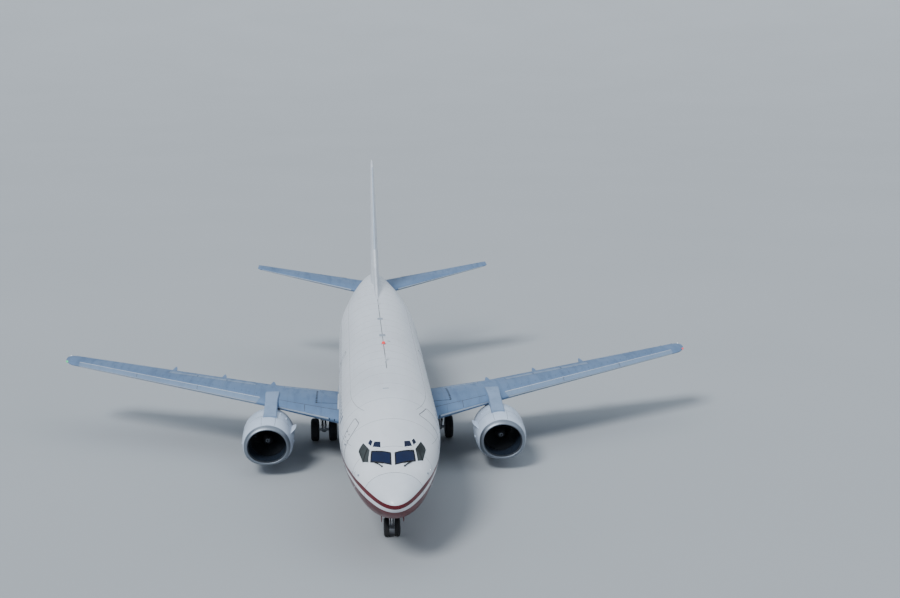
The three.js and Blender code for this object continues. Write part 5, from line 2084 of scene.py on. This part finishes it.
@dataclass
class NoseGear:
    """The nose leg, its steered part and its doors."""

    s: float = 3990.0
    axle_z: float = 343.0

    def build(self) -> None:
        """The nose gear."""
        self.leg()
        Wheels("nose_gear_wheels", "nose_wheels", (0, self.s, self.axle_z), 343, 197, 400, 40, 6).build()
        self.doors()

    def leg(self) -> None:
        """The strut, its lamps and the steered part."""
        s, z = self.s, self.axle_z
        strut = [
            rods(((0, s, 934), (0, s, 1899), 92, 92, 36, 8), ((0, s, 1150), (0, s, 1230), 106, 106, 36, 8),
                 *[((x, s - 40, 1180), (x, s - 900, 1760), 26, 26, 16) for x in (-60, 60)],
                 ((-95, s - 420, 1436), (95, s - 420, 1436), 20, 20, 16)),
            block(-150, 150, s - 58, s + 58, 1242, 1328, 12),
            rods(*[((x, s - 70, 1285), (x, s + 110, 1285), 36, 36, 24) for x in (-120, 120)])]
        dress("nose_gear_strut", strut, Look.GEAR, stands_for=["nose_gear_strut"])
        lamp = [(0, -4), (56, 0), (62, 8), (50, 44), (0, 70)]
        dress("taxi_lamps", [lathe(lamp, spot(side * 60, s - 128, 1075), (0, 1, 0.05), 32) for side in SIDES],
              Look.CLEAR_LAMP)
        dress("taxi_lamp_bar", block(-110, 110, s - 100, s - 60, 1060, 1090, 8), Look.GEAR)
        lower = [rods(((0, s, 780), (0, s, 929), 104, 104, 36, 8), ((-92, s, z), (92, s, z), 78, 78, 36, 8)),
                 block(-44, 44, s - 150, s, 302, 384, 12),
                 rods(((0, s, z), (0, s, 470), 80, 70, 32), ((-50, s + 255, 620), (50, s + 255, 620), 20, 20, 16))]
        link = ((30, 60, 420), (18, 255, 620), (30, 60, 845))
        lower += [pipe([spot(side * a, s + b, c) for a, b, c in link], 15, 10) for side in SIDES]
        dress("nose_gear_lower", lower, Look.GEAR, "nose_steering", ["nose_gear_steering"])
        dress("nose_gear_slider", rods(((0, s, z + 90), (0, s, 800), 64, 64, 36)), Look.CHROME, "nose_steering")
        tow = lathe(rect(20, 34, -14, 14), spot(0, s - 158, z), (1, 0, 0), 24, closed=True)
        dress("tow_eye", tow, Look.GEAR, "nose_steering")

    def doors(self) -> None:
        """The doors, open at each side, with their ribs."""
        outline = [[2900, 1000], [3150, 830], [4200, 800], [4380, 1000], [4380, 1600], [2900, 1600]]
        door = prism(softened(outline, 60, 4), Plane.SIDE, 384, 410, 6)
        door = shaped(door, [FUSELAGE.form(np.linspace(2000, 5400, 40), 1.0)])
        pair("nose_gear_door", door, Look.RED, stands_for="nose_gear_door")
        ribs = [block(372, 386, a, a + 30, 880, 1260, 4) for a in (3200, 3620, 4060)]
        ribs += [block(340, 384, a, a + 50, 1255, 1300, 6) for a in (3100, 4150)]
        pair("nose_door_ribs", ribs, Look.WELL)


# Small fittings


@dataclass
class Fittings:
    """Aerials, beacons, probes, drains and lamps on the body."""

    section: Table = ((0, 0), (0.08, 0.7), (0.3, 1), (0.6, 0.8), (1, 0), (0.6, -0.8), (0.3, -1), (0.08, -0.7))
    crown: Table = ((5560, -115, 115, 26), (12950, 240, 60, 30), (14100, 0, 130, 210), (17600, 0, 120, 200))
    lamp: Table = ((0, -6), (70, -6), (70, 8), (52, 22), (0, 26))

    def blade(self, s: float, turn: float, height: float, chord: float, lean: float = 0.45) -> Form:
        """A blade aerial on the skin.

        Args:
            s: its station.
            turn: its angle from the crown.
            height: how far it stands out.
            chord: its length at the skin.
            lean: how far its tip leans back, as a share of its height.

        Returns:
            The closed blade.
        """
        at, out = FUSELAGE.on(s, turn), FUSELAGE.normal(s, turn)
        side = np.cross(out, AFT)
        rows = []
        for share in (-0.06, 0.0, 0.35, 0.7, 0.92, 1.0):
            rise = max(share, 0)
            wide = chord * (1 - 0.45 * rise) * (1 if share < 0.9 else 0.8)
            shift = lean * height * rise + chord * 0.25 * rise
            rows.append(np.array([at + out * height * share + np.array([0, shift + a * wide, 0])
                                  + side * b * chord * 0.055 for a, b in self.section]))
        return skin(rows)

    def build(self) -> None:
        """All fittings."""
        below = math.pi
        dress("blade_aerials", [self.blade(*row) for row in (
            (9250, 0, 300, 300), (20900, 0, 260, 260), (6800, below, 250, 300), (21700, below, 300, 320),
            (24000, below, 200, 240))], Look.WHITE)
        plates = []
        for s, x, w, h in self.crown:
            edge = softened(rect(s - h, s + h, x - w, x + w), 20, 3)
            turns = np.arcsin(edge[:, 1] / FUSELAGE.section(edge[:, 0])[0])
            plates.append(FUSELAGE.plate(np.stack([edge[:, 0], turns], 1), 9, 4))
        dress("crown_plates", plates, Look.GREY)
        base = [(0, -10), (105, -10), (96, 14), (0, 14)]
        lens = [(0, 12), (76, 12), (76, 60), (60, 96), (30, 112), (0, 116)]
        beacons = (("beacon_top", FUSELAGE.on(12400, 0), 1), ("beacon_belly", BELLY.on(14300, below), -1))
        for name, place, up in beacons:
            dress(f"{name}_base", lathe(base, place, (0, 0, up), 36), Look.LIP)
            dress(name, lathe(lens, place, (0, 0, up), 36), Look.RED_LAMP)
        self.probes()
        dress("wing_inspection_lamps", [FUSELAGE.disc(self.lamp, 10750, 2560, side, 32) for side in SIDES],
              Look.CLEAR_LAMP)
        tail = lathe([(0, 0), (30, 4), (34, 30), (22, 60), (0, 70)], spot(0, 32205, 4800), AFT, 24)
        dress("tail_lamp", tail, Look.CLEAR_LAMP)
        skid = [FUSELAGE.on(s, below) + np.array([[-30, 0, 20], [30, 0, 20], [24, 0, -h], [-24, 0, -h]])
                for s, h in ((25600, 5), (25900, 70), (26500, 90), (26700, 20))]
        dress("tail_skid", skin(skid), Look.GREY)

    def probes(self) -> None:
        """Probes, vanes, static ports and drain masts."""
        probes, dark = [], []
        vane = np.array([[0, -14, 3], [0, 60, 3], [0, 60, -3], [0, -14, -3]])
        foot = np.array([[0, 0, 0], [14, 60, 0], [0, 160, 0], [-14, 60, 0]])
        for side in SIDES:
            for s, z in ((2100, 3085), (1860, 2650)):
                turn = FUSELAGE.turn_at(s, z, side)
                head = FUSELAGE.off(s, turn, 95) + np.array([0, -30, 0])
                probes.append(rod(FUSELAGE.off(s, turn, -10), head, 15, 9))
                probes.append(rod(head + np.array([0, 25, 0]), head - np.array([0, 190, 0]), 11, 7))
                probes.append(FUSELAGE.disc([(0, -6), (34, -6), (30, 6), (0, 6)], s, z, side, 24))
            dark.append(FUSELAGE.disc([(0, -4), (46, -4), (40, 5), (0, 5)], 1830, 3035, side, 24))
            turn = FUSELAGE.turn_at(1830, 3035, side)
            dark.append(skin([FUSELAGE.off(1830, turn, a) + vane for a in (4, 60)]))
            for s in (6880, 7080):
                port = FUSELAGE.side_path(softened(rect(s - 40, s + 40, 2680, 2760), 36, 4), side)
                probes.append(FUSELAGE.plate(port, 1.5, 3))
            mast = FUSELAGE.on(8600 + 14000 * (side > 0), math.pi)
            dark.append(skin([mast + [0, a, -b] + foot * (1, k, 1)
                              for a, b, k in ((0, -10, 1), (60, 120, 0.8), (120, 210, 0.6))]))
        dress("probes", probes, Look.CHROME)
        dress("vanes_and_masts", dark, Look.GREY)


# Studio


@dataclass
class Studio:
    """The floor, the lights and the camera."""

    camera_place: tuple[float, float, float] = (-1.503, -61.423, 18.112)
    yaw: float = 0.075
    pitch: float = 0.189
    roll: float = -0.004
    focal: float = 1401.8
    frame_width: float = 900.0
    bowl: Table = (
        (0, 0), (150, 0), (220, 1.5), (290, 8), (360, 24), (420, 52), (470, 95), (500, 150), (515, 210))

    def floor(self) -> None:
        """A plain pale floor, far larger than the view."""
        graph = Graph("studio_floor")
        cloud = graph.noise(0.05, 3.0)
        graph.set(Base_Color=graph.mix((0.42, 0.43, 0.44), (0.385, 0.395, 0.405), cloud), Roughness=0.8)
        bowl = skin([np.array([[r * math.cos(a), r * math.sin(a), z] for a in (turns_of(64) if r else [0.0])])
                     for r, z in self.bowl])
        mesh = mesh_of("floor", Form(bowl.points, bowl.faces[:-1]))
        mesh.flip_normals()
        mesh.shade_smooth()
        mesh.materials.append(graph.material)
        obj = bpy.data.objects.new("floor", mesh)
        bpy.context.scene.collection.objects.link(obj)

    def lights(self) -> None:
        """A soft key from the front left, a fill and an even surround."""
        for name, turn, strength, angle, colour in (
                ("key", (math.radians(44), 0.0, math.radians(-34)), 3.1, 18.0, (0.91, 0.96, 1.0)),
                ("fill", (math.radians(60), 0.0, math.radians(66)), 0.6, 60.0, (0.80, 0.90, 1.0)),
                ("top", (0.0, 0.0, 0.0), 0.6, 80.0, (0.86, 0.93, 1.0))):
            data = bpy.data.lights.new(name, "SUN")
            data.energy, data.angle, data.color = strength, math.radians(angle), colour
            obj = bpy.data.objects.new(name, data)
            obj.rotation_euler = turn
            obj.location = (0, 0, 30)
            bpy.context.scene.collection.objects.link(obj)
        world = bpy.data.worlds.new("surround")
        world.use_nodes = True
        sky = world.node_tree.nodes["Background"]
        sky.inputs[0].default_value, sky.inputs[1].default_value = (0.70, 0.84, 1.0, 1.0), 0.5
        bpy.context.scene.world = world

    def camera(self) -> None:
        """The camera at the photograph's angle."""
        cy, sy, cp, sp = math.cos(self.yaw), math.sin(self.yaw), math.cos(self.pitch), math.sin(self.pitch)
        ahead, right = Vector((sy * cp, cy * cp, -sp)), Vector((cy, -sy, 0))
        up = right.cross(ahead)
        x = right * math.cos(self.roll) + up * math.sin(self.roll)
        y = up * math.cos(self.roll) - right * math.sin(self.roll)
        data = bpy.data.cameras.new("camera")
        data.sensor_width = 36.0
        data.lens = self.focal / self.frame_width * data.sensor_width
        data.clip_end = 3000.0
        obj = bpy.data.objects.new("camera", data)
        turn = Matrix((x, y, -ahead)).transposed().to_4x4()
        obj.matrix_world = Matrix.Translation(self.camera_place) @ turn
        bpy.context.scene.collection.objects.link(obj)
        bpy.context.scene.camera = obj

    def build(self) -> None:
        """The studio."""
        self.floor()
        self.lights()
        self.camera()


def main() -> None:
    """Builds the studio and the aircraft."""
    logging.basicConfig(level=logging.INFO, format="%(message)s")
    for part in (Studio(), Fuselage(), CockpitGlass(), CabinWindows(), Doors(), Wing(), Tail(), Engine(),
                 MainGear(), NoseGear(), Fittings()):
        part.build()


if __name__ == "__main__":
    main()
